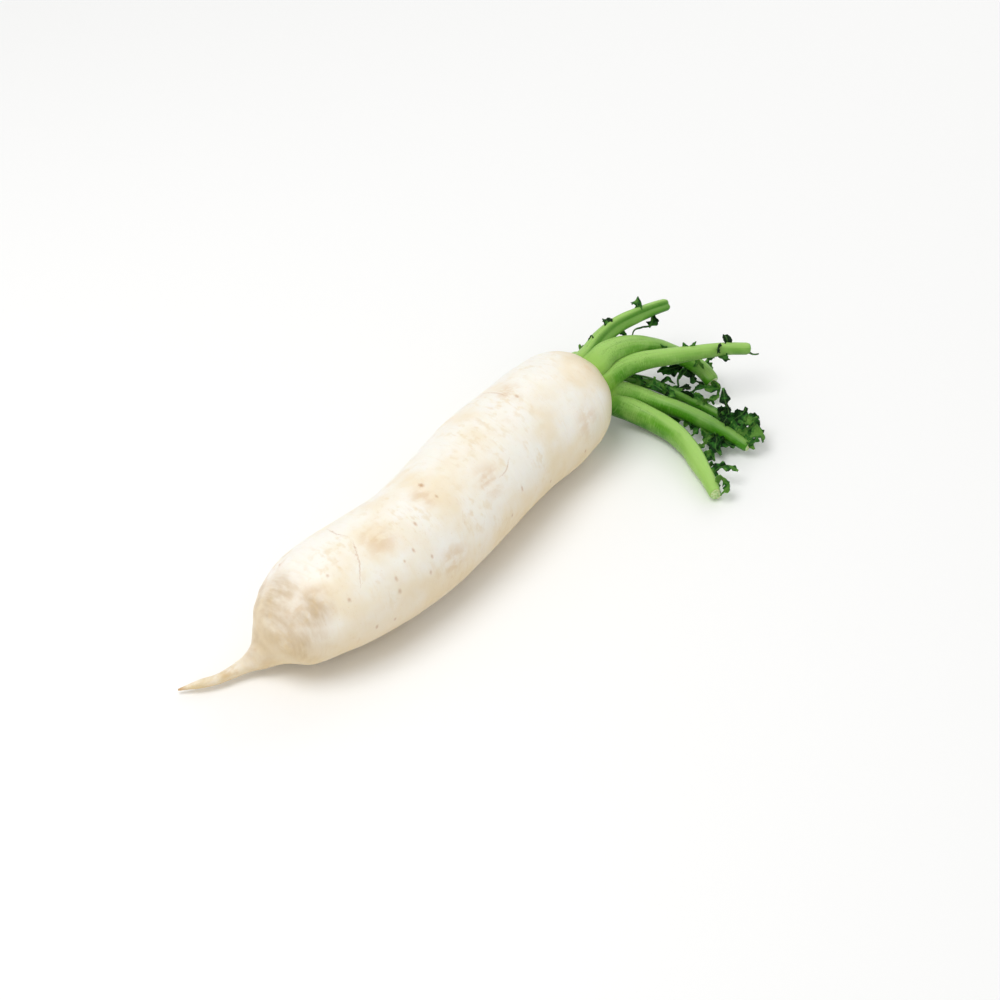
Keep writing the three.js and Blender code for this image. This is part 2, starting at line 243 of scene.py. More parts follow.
class Piece:
    """Turns a finished bmesh into an object that rides with the model and stands for its solids."""

    def __init__(self, name: str, bm: bmesh.types.BMesh, materials: Sequence[bpy.types.Material]) -> None:
        """Makes the object, in metres, at the origin.

        Args:
            name: The object's name.
            bm: The shape in millimetres, which is used up.
            materials: The materials that the faces' indices name.
        """
        bmesh.ops.scale(bm, vec=(MM, MM, MM), verts=bm.verts)
        mesh = bpy.data.meshes.new(name)
        bm.to_mesh(mesh)
        bm.free()
        for material in materials:
            mesh.materials.append(material)
        mesh.shade_smooth()
        self.object = bpy.data.objects.new(name, mesh)
        bpy.context.scene.collection.objects.link(self.object)

    def thicken(self, thickness_mm: float) -> "Piece":
        """Gives a thin sheet its thickness, half to each side.

        Args:
            thickness_mm: How thick it becomes.

        Returns:
            The piece itself.
        """
        solidify = self.object.modifiers.new("leaf_thickness", "SOLIDIFY")
        solidify.thickness = thickness_mm * MM
        solidify.offset = 0
        solidify.use_even_offset = False
        solidify.use_rim = True
        return self

    def stands_for(self, node: str, slot: str) -> None:
        """Lets the piece ride on the body and take the place of a node.

        Args:
            node: The solid that it replaces.
            slot: The record's material slot, which is not used.
        """
        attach(self.object, "root")
        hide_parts(node)
        LOG.info("%s: %d faces", self.object.name, len(self.object.data.polygons))


class Shader:
    """A material's node tree, which one function fills."""

    def __init__(self, name: str) -> None:
        """Starts an empty material with its output.

        Args:
            name: The material's name.
        """
        self.material = bpy.data.materials.new(name)
        self.material.use_nodes = True
        self.tree = self.material.node_tree
        self.tree.nodes.clear()
        self.output = self.tree.nodes.new("ShaderNodeOutputMaterial")

    def add(self, kind: str, feeds: dict[str | int, Feed], out: str | int = 0,
            **settings: str) -> Socket:
        """Adds a node with its settings and links.

        Args:
            kind: The node's type after "ShaderNode".
            feeds: What each input gets, by its name or number: a socket, a value or a hex colour.
            out: The name or number of the output that is wanted.
            **settings: The node's own properties.

        Returns:
            The wanted output.
        """
        node = self.tree.nodes.new("ShaderNode" + kind)
        for name, value in settings.items():
            setattr(node, name, value)
        for name, given in feeds.items():
            if isinstance(given, Socket):
                self.tree.links.new(given, node.inputs[name])
            else:
                node.inputs[name].default_value = linear(given) if isinstance(given, str) else given
        return node.outputs[out]

    def pattern(self, where: Socket, scale: float, detail: float = 3, stretch: Point = (1, 1, 1),
                turn_deg: Point = (0, 0, 0)) -> Socket:
        """Lays a cloudy pattern over a surface, turned and then squeezed along its axes.

        Args:
            where: The place on the surface.
            scale: Features per unit of that place.
            detail: How many finer layers it has.
            stretch: How much tighter the pattern is along each axis.
            turn_deg: How far it is turned about each axis.

        Returns:
            The pattern's value, about 0.5.
        """
        angles = [math.radians(angle) for angle in turn_deg]
        turned = self.add("Mapping", {"Vector": where, "Rotation": angles})
        squeezed = self.add("Mapping", {"Vector": turned, "Scale": stretch})
        return self.add("TexNoise", {"Vector": squeezed, "Scale": scale, "Detail": detail})

    def tint(self, colour: Socket | str, over: str, mask: Socket, low: float, high: float,
             start: float = 0.0, end: float = 1.0, within: Socket | None = None) -> Socket:
        """Lays one colour over another, by how far a mask has risen.

        Args:
            colour: The colour beneath.
            over: The colour on top, in hex.
            mask: What the top colour follows.
            low: The mask's value where the top colour starts.
            high: The mask's value where it is strongest.
            start: The top colour's share at low.
            end: Its share at high.
            within: A second mask, which the share is multiplied by.

        Returns:
            The two colours together.
        """
        span = {"From Min": low, "From Max": high, "To Min": start, "To Max": end}
        share = self.add("MapRange", {"Value": mask, **span}, **SMOOTH)
        if within is not None:
            share = self.add("Math", {0: share, 1: within}, operation="MULTIPLY")
        return self.add("Mix", {FACTOR: share, UNDER: colour, OVER: over}, BLENDED, data_type="RGBA")

    def finish(self, shader: Socket) -> bpy.types.Material:
        """Leads a shader to the output and returns the material."""
        self.tree.links.new(shader, self.output.inputs["Surface"])
        return self.material


@dataclass(frozen=True)
class RootSkin:
    """Scrubbed daikon skin: thin, damp and waxy over white flesh, so light glows a little way in."""

    cream: str = "FBF6EC"
    beige: str = "F4E6CB"
    tan: str = "D3AB70"
    grey: str = "D0BA99"
    # The tan of the faint mottles, also painted as warm shade on the lower sides and underside.
    mottle_and_shade_tan: str = "E0C796"
    tail: str = "E0CDA4"
    scar: str = "B47A38"
    crown: str = "C6CF8A"
    # Where the colours of the tail, its tip, the head and the crown start and where they are full.
    tail_mm: tuple[float, float] = (-138, -180)
    tip_mm: tuple[float, float] = (-189, -194.5)
    head_mm: tuple[float, float] = (118, 141)
    crown_mm: tuple[float, float] = (137.5, 142.5)
    roughness: float = 0.4
    roughness_range: tuple[float, float] = (-0.06, 0.1)
    # Widths of the patterns, which are finer across the root where they are drawn as rings or dashes.
    cloud_mm: float = 38
    cluster_mm: float = 30
    rub_mm: float = 9
    blotch_mm: float = 6
    mottle_mm: float = 4.2
    dash_mm: float = 2.6
    wrinkle_mm: float = 1.8
    soil_ring_mm: float = 1.6
    scratch_mm: float = 1.3
    pore_mm: float = 0.9
    ring_depth_mm: float = 0.12
    pore_depth_mm: float = 0.05
    glow_mm: float = 2.5

    def material(self) -> bpy.types.Material:
        """Builds the skin's material.

        Returns:
            The material.
        """
        s = Shader("daikon_root_skin")
        where = s.add("TexCoord", {}, "Object")
        along = s.add("SeparateXYZ", {"Vector": where}, "X")
        along_mm = s.add("Math", {0: along, 1: 1 / MM}, operation="MULTIPLY")
        # Cloudy patches a few centimetres wide turn the cream to a warmer beige.
        clouds = s.pattern(where, 1 / (self.cloud_mm * MM))
        colour = s.tint(self.cream, self.beige, clouds, 0.38, 0.68)
        # Fine rings across the root, which its growth has left in the skin.
        rings = s.pattern(where, 1 / (self.wrinkle_mm * MM), 2, (1.0, 0.12, 0.12))
        colour = s.tint(colour, self.beige, rings, 0.5, 0.85, 0, 0.35)
        # The thin tail is yellower, and its tip is dry and brown.
        start, full = self.tail_mm
        tail = s.add("MapRange", {"Value": along_mm, "From Min": start, "From Max": full}, **SMOOTH)
        blotches = s.pattern(where, 1 / (self.blotch_mm * MM), 6, (0.6, 1, 1))
        colour = s.tint(colour, self.tail, blotches, 0.3, 0.7, 0.35, 1, within=tail)
        colour = s.tint(colour, self.scar, along_mm, *self.tip_mm, 0, 0.7)
        # The crown, from which the leaves grow, is yellower too and turns green at the stem.
        colour = s.tint(colour, self.tail, along_mm, *self.head_mm, 0, 0.9)
        colour = s.tint(colour, self.crown, along_mm, *self.crown_mm, 0, 0.65)
        # Rubbed places are tan and patchy.
        bruise = s.add("Attribute", {}, "Fac", attribute_name="bruise")
        colour = s.tint(colour, self.tan, blotches, 0.4, 0.64, 0.048, 0.4, within=bruise)
        # The shoulder above the tail was rubbed by soil, in fine greyish rings.
        fine = s.pattern(where, 1 / (self.soil_ring_mm * MM), 4, (1.0, 0.2, 0.2))
        broad = s.pattern(where, 1 / (self.rub_mm * MM), 4, (1.0, 0.5, 0.5))
        span = {"From Min": 0.3, "From Max": 0.6, "To Min": 0.4}
        broad = s.add("MapRange", {"Value": broad, **span}, **SMOOTH)
        soil = s.add("Attribute", {}, "Fac", attribute_name="soil")
        soil = s.add("Math", {0: broad, 1: soil}, operation="MULTIPLY")
        colour = s.tint(colour, self.grey, fine, 0.3, 0.7, 0.7, 1, within=soil)
        # Faces that turn down, the lower sides and the underside, are tinted a warmer tan: painted warm
        # shade and reflected light, together with soil staining where the root lay in the ground.
        upright = s.add("SeparateXYZ", {"Vector": s.add("NewGeometry", {}, "Normal")}, "Z")
        colour = s.tint(colour, self.mottle_and_shade_tan, upright, 0.6, -0.5, 0, 0.6)
        # Faint mottling, small tan dashes across the root and hair-thin scratches lie in loose clusters.
        cluster = s.pattern(where, 1 / (self.cluster_mm * MM), 2)
        span = {"From Min": 0.4, "From Max": 0.66, "To Min": 0.03, "To Max": 0.32}
        cluster = s.add("MapRange", {"Value": cluster, **span}, **SMOOTH)
        mottles = s.pattern(where, 1 / (self.mottle_mm * MM), 5, (1.0, 0.7, 0.7))
        colour = s.tint(colour, self.mottle_and_shade_tan, mottles, 0.5, 0.68, within=cluster)
        dashes = s.pattern(where, 1 / (self.dash_mm * MM), 2, (1.0, 0.34, 0.34))
        colour = s.tint(colour, self.tan, dashes, 0.62, 0.74, 0, 0.5, within=cluster)
        scratches = s.pattern(where, 1 / (self.scratch_mm * MM), 1, (1.0, 0.05, 0.3), (0, 0, 48))
        colour = s.tint(colour, self.tan, scratches, 0.7, 0.76, 0, 0.5, within=cluster)
        freckles = s.pattern(where, 1 / (self.pore_mm * MM), 1)
        colour = s.tint(colour, self.tan, freckles, 0.66, 0.78, 0, 0.2)
        # Scars and cracks are dry and brown.
        scar = s.add("Attribute", {}, "Fac", attribute_name="scar")
        feeds = {FACTOR: scar, UNDER: colour, OVER: self.scar}
        colour = s.add("Mix", feeds, BLENDED, data_type="RGBA")
        relief = s.add("Bump", {"Height": rings, "Distance": self.ring_depth_mm * MM})
        pores = s.pattern(where, 1 / (self.pore_mm * MM), 2)
        relief = s.add("Bump", {"Height": pores, "Distance": self.pore_depth_mm * MM, "Normal": relief})
        smoothest, roughest = (self.roughness + change for change in self.roughness_range)
        span = {"From Min": 0.3, "From Max": 0.7, "To Min": smoothest, "To Max": roughest}
        rough = s.add("MapRange", {"Value": blotches, **span}, **SMOOTH)
        return s.finish(s.add("BsdfPrincipled", {
            "Base Color": colour, "Normal": relief, "Roughness": rough, "IOR": 1.42,
            "Specular IOR Level": 0.45, "Subsurface Weight": 0.35,
            "Subsurface Radius": (0.9, 0.75, 0.5), "Subsurface Scale": self.glow_mm * MM,
        }))


@dataclass(frozen=True)
class StalkSkin:
    """Fresh leaf stalk: crisp and juicy, ribbed along its length, paler where it was kept from light."""

    # Pale green: the stalks' own pale patches, wrinkles and bleaching, and also the painted highlight on the
    # side that faces up.
    pale_and_highlight: str = "A8D170"
    green: str = "569B1C"
    # Deep green: the fibres' streaks, and also painted shade on the underside, in the channel and on
    # stretches under other stalks.
    deep_and_shade: str = "2F720D"
    base: str = "8BBA3E"
    speck: str = "4A6A1E"
    cloud_mm: float = 16
    rib_mm: float = 0.9
    speck_mm: float = 0.7
    fibres_per_radius: float = 5.5
    fibre_stretch: Point = (1, 1, 0.012)
    wrinkle_stretch: Point = (1.2, 1.2, 1.5)
    fibre_depth_mm: float = 0.16
    wrinkle_depth_mm: float = 0.08
    rib_depth_mm: float = 0.06
    glow_mm: float = 1.5
    roughness: float = 0.36

    def material(self) -> bpy.types.Material:
        """Builds the stalk's material.

        Returns:
            The material.
        """
        s = Shader("leaf_stalk_skin")
        # The place on the straightened stalk: radii across it and millimetres along it.
        run = s.add("Attribute", {}, "Vector", attribute_name="straight")
        where = s.add("TexCoord", {}, "Object")
        depth = s.add("Attribute", {}, "Fac", attribute_name="depth")
        # Painted light and shade: the side that faces up is painted pale as a highlight, and the side that
        # faces down a deep green as shade.
        upright = s.add("SeparateXYZ", {"Vector": s.add("NewGeometry", {}, "Normal")}, "Z")
        colour = s.tint(self.deep_and_shade, self.green, upright, -0.9, 0.6)
        colour = s.tint(colour, self.pale_and_highlight, upright, 0.35, 1.1, 0, 0.9)
        # Long fibres, drawn as streaks that are as wide as the ribs.
        fibres = s.pattern(run, self.fibres_per_radius, 3, self.fibre_stretch)
        colour = s.tint(colour, self.deep_and_shade, fibres, 0.5, 0.75, 0, 0.35)
        clouds = s.pattern(where, 1 / (self.cloud_mm * MM), 4)
        colour = s.tint(colour, self.pale_and_highlight, clouds, 0.45, 0.7, 0, 0.45)
        # Fine pale wrinkles run across the lower half.
        wrinkles = s.pattern(run, 1, 2, self.wrinkle_stretch)
        lower = s.add("MapRange", {"Value": depth, "From Min": 0.8, "From Max": 0.35}, **SMOOTH)
        colour = s.tint(colour, self.pale_and_highlight, wrinkles, 0.5, 0.7, 0, 0.35, within=lower)
        # Each stalk is paler on some stretches and a deeper green on others: partly its own bleaching, and
        # partly painted shade on stretches that lie under other stalks, as the whole thin stalk does.
        bleach_and_shade = s.add("Attribute", {}, "Fac", attribute_name="bleach_and_shade")
        colour = s.tint(colour, self.pale_and_highlight, bleach_and_shade, 0, 1)
        colour = s.tint(colour, self.deep_and_shade, bleach_and_shade, 0, -1)
        # The channel along the inner face is painted darker than the flanks, as shade in the groove.
        channel = s.add("Attribute", {}, "Fac", attribute_name="channel")
        colour = s.tint(colour, self.deep_and_shade, channel, 0.5, 0.95, 0, 0.6)
        # Where they clasp the stem the stalks were kept from light, and above that they are finely speckled.
        colour = s.tint(colour, self.base, depth, 0.16, 0.0, 0, 0.6)
        above = s.add("MapRange", {"Value": depth, "From Min": 0.08, "From Max": 0.16}, **SMOOTH)
        below = s.add("MapRange", {"Value": depth, "From Min": 0.5, "From Max": 0.3}, **SMOOTH)
        band = s.add("Math", {0: above, 1: below}, operation="MULTIPLY")
        specks = s.pattern(where, 1 / (self.speck_mm * MM), 1)
        colour = s.tint(colour, self.speck, specks, 0.64, 0.7, 0, 0.55, within=band)
        relief = s.add("Bump", {"Height": fibres, "Distance": self.fibre_depth_mm * MM})
        crossed = {"Height": wrinkles, "Distance": self.wrinkle_depth_mm * MM}
        relief = s.add("Bump", {**crossed, "Normal": relief})
        ribs = s.pattern(where, 1 / (self.rib_mm * MM))
        relief = s.add("Bump", {"Height": ribs, "Distance": self.rib_depth_mm * MM, "Normal": relief})
        return s.finish(s.add("BsdfPrincipled", {
            "Base Color": colour, "Normal": relief, "Roughness": self.roughness, "IOR": 1.4,
            "Specular IOR Level": 0.3, "Subsurface Weight": 0.2,
            "Subsurface Radius": (0.5, 1.0, 0.25), "Subsurface Scale": self.glow_mm * MM,
        }))


@dataclass(frozen=True)
class CutEnd:
    """Cut stalk end: wet pale pith inside a green rim."""

    pith: str = "CFE3A6"
    bundles: str = "A9CE7C"
    bundle_mm: float = 1.4
    bundle_depth_mm: float = 0.2
    glow_mm: float = 2

    def material(self) -> bpy.types.Material:
        """Builds the cut end's material.

        Returns:
            The material.
        """
        s = Shader("leaf_stalk_cut_end")
        dots = s.pattern(s.add("TexCoord", {}, "Object"), 1 / (self.bundle_mm * MM), 1)
        colour = s.tint(self.pith, self.bundles, dots, 0.45, 0.62)
        relief = s.add("Bump", {"Height": dots, "Distance": self.bundle_depth_mm * MM})
        return s.finish(s.add("BsdfPrincipled", {
            "Base Color": colour, "Normal": relief, "Roughness": 0.35, "IOR": 1.38,
            "Subsurface Weight": 0.3, "Subsurface Scale": self.glow_mm * MM,
        }))


@dataclass(frozen=True)
class LeafBlade:
    """Daikon leaf: a thin, hairy, crumpled blade, dark above and lit through where it is single."""

    dark: str = "0F3013"
    green: str = "347528"
    bright: str = "78AC48"
    vein: str = "6C9E4A"
    cloud_mm: float = 6
    vein_mm: float = 2.2
    hair_mm: float = 1.2
    vein_depth_mm: float = 0.2
    hair_depth_mm: float = 0.15
    net_strength: float = 0.14
    rib_strength: float = 0.55
    see_through: float = 0.22

    def material(self) -> bpy.types.Material:
        """Builds the blade's material.

        Returns:
            The material.
        """
        s = Shader("daikon_leaf_blade")
        where = s.add("TexCoord", {}, "Object")
        # Each scrap has its own tone; the freshest parts are bright, the bruised ones nearly black.
        clouds = s.pattern(where, 1 / (self.cloud_mm * MM))
        span = {"From Min": 0.35, "From Max": 0.7, "To Min": -0.45, "To Max": 0.4}
        clouds = s.add("MapRange", {"Value": clouds, **span}, **SMOOTH)
        tone = s.add("Attribute", {}, "Fac", attribute_name="tone")
        tone = s.add("Math", {0: tone, 1: clouds}, operation="ADD")
        colour = s.tint(self.dark, self.green, tone, 0.1, 0.6)
        colour = s.tint(colour, self.bright, tone, 0.5, 1.0, 0, 0.8)
        # A net of fine veins beside the pale rib.
        feeds = {"Vector": where, "Scale": 1 / (self.vein_mm * MM)}
        cells = s.add("TexVoronoi", feeds, "Distance", feature="DISTANCE_TO_EDGE")
        span = {"From Min": 0.0, "From Max": 0.12, "To Min": 1.0, "To Max": 0.0}
        veins = s.add("MapRange", {"Value": cells, **span}, **SMOOTH)
        faint = s.add("Math", {0: veins, 1: self.net_strength}, operation="MULTIPLY")
        rib = s.add("Attribute", {}, "Fac", attribute_name="rib")
        strong = s.add("Math", {0: rib, 1: self.rib_strength}, operation="MULTIPLY")
        share = s.add("Math", {0: faint, 1: strong}, operation="MAXIMUM")
        feeds = {FACTOR: share, UNDER: colour, OVER: self.vein}
        colour = s.add("Mix", feeds, BLENDED, data_type="RGBA")
        relief = s.add("Bump", {"Height": veins, "Distance": self.vein_depth_mm * MM})
        hairs = s.pattern(where, 1 / (self.hair_mm * MM))
        relief = s.add("Bump", {"Height": hairs, "Distance": self.hair_depth_mm * MM, "Normal": relief})
        blade = s.add("BsdfPrincipled", {
            "Base Color": colour, "Normal": relief, "Roughness": 0.5, "IOR": 1.4, "Specular IOR Level": 0.2,
        })
        glow = s.add("BsdfTranslucent", {"Color": colour, "Normal": relief})
        return s.finish(s.add("MixShader", {0: self.see_through, 1: blade, 2: glow}))


@dataclass(frozen=True)
class StemSkin:
    """The short stem: corky ochre-green tissue with brown scars where leaves have dropped."""

    ochre: str = "A9A455"
    green: str = "7E9A3C"
    cork: str = "6E4E22"
    cloud_mm: float = 6
    speck_mm: float = 1.6
    grain_mm: float = 1.2
    grain_depth_mm: float = 0.5
    glow_mm: float = 1

    def material(self) -> bpy.types.Material:
        """Builds the stem's material.

        Returns:
            The material.
        """
        s = Shader("daikon_stem_skin")
        where = s.add("TexCoord", {}, "Object")
        clouds = s.pattern(where, 1 / (self.cloud_mm * MM), 4)
        colour = s.tint(self.ochre, self.green, clouds, 0.35, 0.65)
        specks = s.pattern(where, 1 / (self.speck_mm * MM), 4)
        colour = s.tint(colour, self.cork, specks, 0.55, 0.66, 0, 0.85)
        grain = s.pattern(where, 1 / (self.grain_mm * MM), 4)
        relief = s.add("Bump", {"Height": grain, "Distance": self.grain_depth_mm * MM})
        return s.finish(s.add("BsdfPrincipled", {
            "Base Color": colour, "Normal": relief, "Roughness": 0.65, "IOR": 1.4,
            "Subsurface Weight": 0.1, "Subsurface Scale": self.glow_mm * MM,
        }))


@dataclass(frozen=True)
class Scar:
    """A side root's scar, or one bit of a crack: a shallow oval pit with a low lip round it.

    Its width is across the root and its height is along it.
    """

    x: float
    y: float
    z: float
    width: float
    height: float
    depth: float

    RAGGED = 0.35
    RAGGED_WAVES = 1.7
    PIT = 0.4
    PIT_EDGE = 1.5
    LIP = 0.2
    LIP_PLACE = 1.7
    LIP_WIDTH = 0.45
    STAIN = 0.2
    DEEP_STAIN = 1.3
    STAIN_EDGE = (0.1, 1.2)

    @property
    def place(self) -> Vector:
        """Its middle, which is close to the skin."""
        return Vector((self.x, self.y, self.z))

    def distance(self, centre: Vector, spot: Vector) -> float:
        """Measures how far out a spot lies in the scar's ragged oval.

        Args:
            centre: The scar's middle on the skin.
            spot: The spot on the skin.

        Returns:
            The distance, which is about 1 at the scar's width across the root and its height along it.
        """
        offset = spot - centre
        along = abs(offset.x) / self.height
        across = math.hypot(offset.y, offset.z) / self.width
        return math.hypot(along, across) * (1 + self.RAGGED * noise.noise(spot * self.RAGGED_WAVES))

    def pit(self, distance: float) -> float:
        """How deep the skin is sunk at a distance."""
        return self.PIT * self.depth * (1 - ease(distance, 0.0, self.PIT_EDGE))

    def lip(self, distance: float) -> float:
        """How high the skin is raised at a distance."""
        return self.depth * self.LIP * math.exp(-((distance - self.LIP_PLACE) / self.LIP_WIDTH) ** 2)

    def stain(self, distance: float) -> float:
        """How brown the skin is at a distance. A deep scar is browner."""
        return min(1, self.STAIN + self.DEEP_STAIN * self.depth) * (1 - ease(distance, *self.STAIN_EDGE))


@dataclass(frozen=True)
class SkinRelief:
    """How the root's skin stands out: soft swellings, growth rings and pleats round the crown."""

    offset: float = -0.12
    # Layers of noise: the height of each and its waves per millimetre.
    swellings: tuple[tuple[float, float], ...] = ((0.45, 0.028), (0.18, 0.075))
    ring_waves: Point = (0.34, 0.035, 0.035)
    rings: tuple[tuple[float, float], ...] = ((1, 1), (0.6, 2.3))
    ring_height: float = 0.07
    # The rings show in patches, and they are strong near the tail.
    ring_patches: float = 0.02
    faintest_rings: float = 0.3
    patch_edge: tuple[float, float] = (-0.1, 0.4)
    patch_place: Point = (0, 0, 9)
    tail_ring_height: float = 0.16
    tail_ringed: tuple[float, float] = (-165, -128)
    tail_thin: tuple[float, float] = (-185, -150)
    tail_calm: float = 0.85
    pleats: int = 9
    pleat_height: float = 0.21
    pleat_start: float = 118
    pleat_full: float = 140
    pleat_middle: tuple[float, float] = (12.5, 35.2)

    def height(self, place: Vector) -> float:
        """Works out how far the skin stands out.

        Args:
            place: A place on the smooth skin.

        Returns:
            The height there, without the scars.
        """
        tail = 1 - ease(place.x, *self.tail_ringed)
        size = 1 - self.tail_calm * (1 - ease(place.x, *self.tail_thin))
        swell = self.offset + rumple(place, self.swellings)
        across = Vector([rate * value for rate, value in zip(self.ring_waves, place)])
        patches = noise.noise(place * self.ring_patches + Vector(self.patch_place))
        patch = ease(patches, *self.patch_edge)
        patchy = self.faintest_rings + (1 - self.faintest_rings) * patch
        ringed = self.ring_height * patchy + self.tail_ring_height * tail
        y, z = self.pleat_middle
        pleats = math.cos(self.pleats * math.atan2(place.z - z, place.y - y))
        crown = self.pleat_height * ease(place.x, self.pleat_start, self.pleat_full)
        return (swell + rumple(across, self.rings) * ringed) * size + crown * pleats


@dataclass
class Root:
    """The swollen taproot, with its tail, its leaning shoulder and the round head."""

    # Stations from the tail's tip to the head: the middle's place and the radius.
    stations: tuple[tuple[float, float, float, float], ...] = (
        (-194, 35, 3.2, 0.6), (-189, 31.2, 4.4, 1.6), (-184, 27.4, 5.4, 2.6), (-175, 22, 6, 3.1),
        (-165, 18.8, 6.8, 3.9), (-156.5, 16, 8.6, 5.6), (-149.5, 13, 12, 9), (-143, 10.8, 17.8, 15),
        (-137, 8.3, 22.5, 22.4), (-131, 5.4, 26.6, 27.6), (-123, 2.6, 30.4, 31.2), (-112, 0.2, 33.6, 34.7),
        (-97, -2.5, 35.4, 36.4), (-67, -5.9, 35.6, 36.6), (-32, -6.1, 35.6, 36.4), (3, -2.1, 36, 37.1),
        (37, 3.6, 36.1, 37.1), (74, 7.7, 35.4, 36), (97, 8.4, 35.3, 35.8), (110.5, 9.1, 35.1, 34.3),
    )
    # The head closes in a round outline, whose length is given in head lengths.
    head_length: float = 30.5
    head_arc: float = 1.2
    head_top_radius: float = 17
    head_yaw: float = math.radians(5)
    head_turn_start: float = 60
    # The sections of the shoulder lean over the tail, from where it starts until the lean has faded.
    shoulder_lean: float = math.radians(34)
    shoulder_start: float = -172
    shoulder_full: float = -136
    shoulder_end: float = -60
    shoulder_fade: float = 75
    # How far a section is from round: an oval that twists along the root, and soft knobbles.
    oval: float = 0.014
    oval_twist: float = 5
    knobble: float = 0.008
    knobble_sides: int = 3
    knobble_turn: float = 1.3
    knobble_waves: float = 17
    length: float = 336
    sides: int = 176
    rings: int = 330
    # Scars of side roots and short cracks: place, width across the root, height along it, depth.
    scars: tuple[tuple[float, float, float, float, float, float], ...] = (
        (-29, -5, 73, 2.4, 2, 0.33), (-29, -17, 71, 1.7, 1.1, 0.2), (-53, -22, 69, 2, 1.2, 0.23),
        (-65, -31, 62, 1.8, 1.1, 0.2), (-56, -38, 55, 1.8, 1.1, 0.2), (-74, -33, 61, 1.2, 1.1, 0.16),
        (69, 6, 72, 2, 1.4, 0.2), (28, -33, 48, 2.5, 1.1, 0.2), (15, -37, 38, 2, 1.1, 0.2),
        (-91, -40, 32, 1.8, 1.2, 0.2), (-92, -11, 71, 1.5, 0.7, 0.2), (-95, -15, 70, 1.5, 0.7, 0.16),
        (-89, 10, 69, 1.7, 0.8, 0.2), (-120, 18, 55, 1.8, 1.1, 0.2), (-20, 28, 50, 2.1, 1.2, 0.23),
        (40, 40, 42, 2.2, 1.2, 0.23), (90, 45, 36, 1.8, 1.2, 0.2), (-70, 29, 40, 2, 1.2, 0.2),
        (60, -32, 30, 1.7, 1.1, 0.16), (95, -27, 30, 1.8, 1.1, 0.2), (-110, 32, 30, 2, 1.2, 0.2),
        (10, 34, 30, 1.7, 0.9, 0.16), (70, 30, 12, 1.8, 1.1, 0.2), (-40, -30, 10, 2, 1.1, 0.2),
        (-115, -28, 57, 1.6, 1.4, 0.15), (-84, -35, 56, 2.2, 1.3, 0.15), (-61, -41, 48, 1.8, 1.2, 0.15),
        (-116, -12, 67, 1.6, 1.2, 0.12), (-104, -38, 34, 2.2, 1.3, 0.2), (-85, -39, 49, 2.2, 1.6, 0.15),
    )
    # Cracks: the places that each runs through.
    cracks: tuple[tuple[Point, ...], ...] = (
        ((-89, -7, 71), (-92, -11, 71), (-95, -16, 69), (-98, -20, 67), (-102, -24, 64), (-106, -28, 60)),
        ((-87, 16, 65), (-89, 10, 69), (-90, 5, 70), (-88, -2, 71)),
        ((63, 30, 64), (64, 20, 70), (65, 8, 72)),
        ((15, -27, 62), (22, -26, 62), (30, -22, 65)),
        ((-60, 22, 56), (-62, 27, 48), (-61, 30, 40)),
        ((80, 38, 52), (82, 42, 44)),
    )
    crack_width: float = 0.55
    crack_depth: float = 0.16
    # A crack's scars stand closer than their width, wander aside and are thinner at its two ends.
    crack_step: float = 0.8
    crack_wander: float = 0.5
    crack_tip: float = 0.35
    # The skin's faces are split finer round a scar. A lip is raised only where no pit is.
    scar_cuts: int = 3
    scar_margin: float = 2
    scar_reach: float = 3
    lip_limit: float = 0.02
    # Rubbed, tan places: centre and radius.
    bruises: tuple[tuple[float, float, float, float], ...] = (
        (-139, -12, 53, 17), (-149, -9, 38, 14), (-130, -15, 59, 15), (8, -26, 64, 15), (69, 13, 72, 12),
        (-78, -16, 68, 16), (-36, -12, 71, 12),
        (-153, 5, 12, 12), (-169, 18, 10, 9), (-41, -41, 44, 15), (-120, 25, 50, 20), (30, 38, 40, 16),
        (100, -20, 45, 16), (-60, 20, 60, 12),
    )
    # Where soil has rubbed the shoulder above the tail: centre and radius.
    soiled: tuple[tuple[float, float, float, float], ...] = (
        (-148, 0, 40, 27), (-133, -14, 54, 19), (-150, 10, 22, 20), (-140, 24, 44, 18),
        (-138, 5, 55, 22), (-143, -18, 33, 24),
    )
    patch_core: float = 0.2
    relief: SkinRelief = SkinRelief()

    def __post_init__(self) -> None:
        """Works out the root's middle line, its radii and its head."""
        self.axis = Curve([s[:3] for s in self.stations])
        self.radii = Curve([(s[0], s[3], 0) for s in self.stations])
        self.outward = Vector((math.cos(self.head_yaw), math.sin(self.head_yaw), 0))
        self.neck = Vector(self.stations[-1][:3])
        self.widest = self.stations[-1][3]
        self.head_angle = math.acos(self.head_top_radius / self.widest)
        whole = self.axis.length + self.head_length * self.head_arc
        self.body_share = self.axis.length / whole

    def facing(self, x: float, t: float) -> Vector:
        """Finds which way a cross-section faces: level, but for the shoulder that leans over the tail.

        Args:
            x: The place of its middle along the model.
            t: The place of its middle on the root's middle line.

        Returns:
            The direction.
        """
        rise = ease(x, self.shoulder_start, self.shoulder_full)
        fall = clamp((self.shoulder_end - x) / self.shoulder_fade)
        lean = self.shoulder_lean * rise * fall
        turned = ease(x, self.head_turn_start, self.neck.x)
        level = self.axis.heading(t)
        level.z = 0
        level = level.normalized().lerp(self.outward, turned).normalized()
        return level * math.cos(lean) + UP * math.sin(lean)

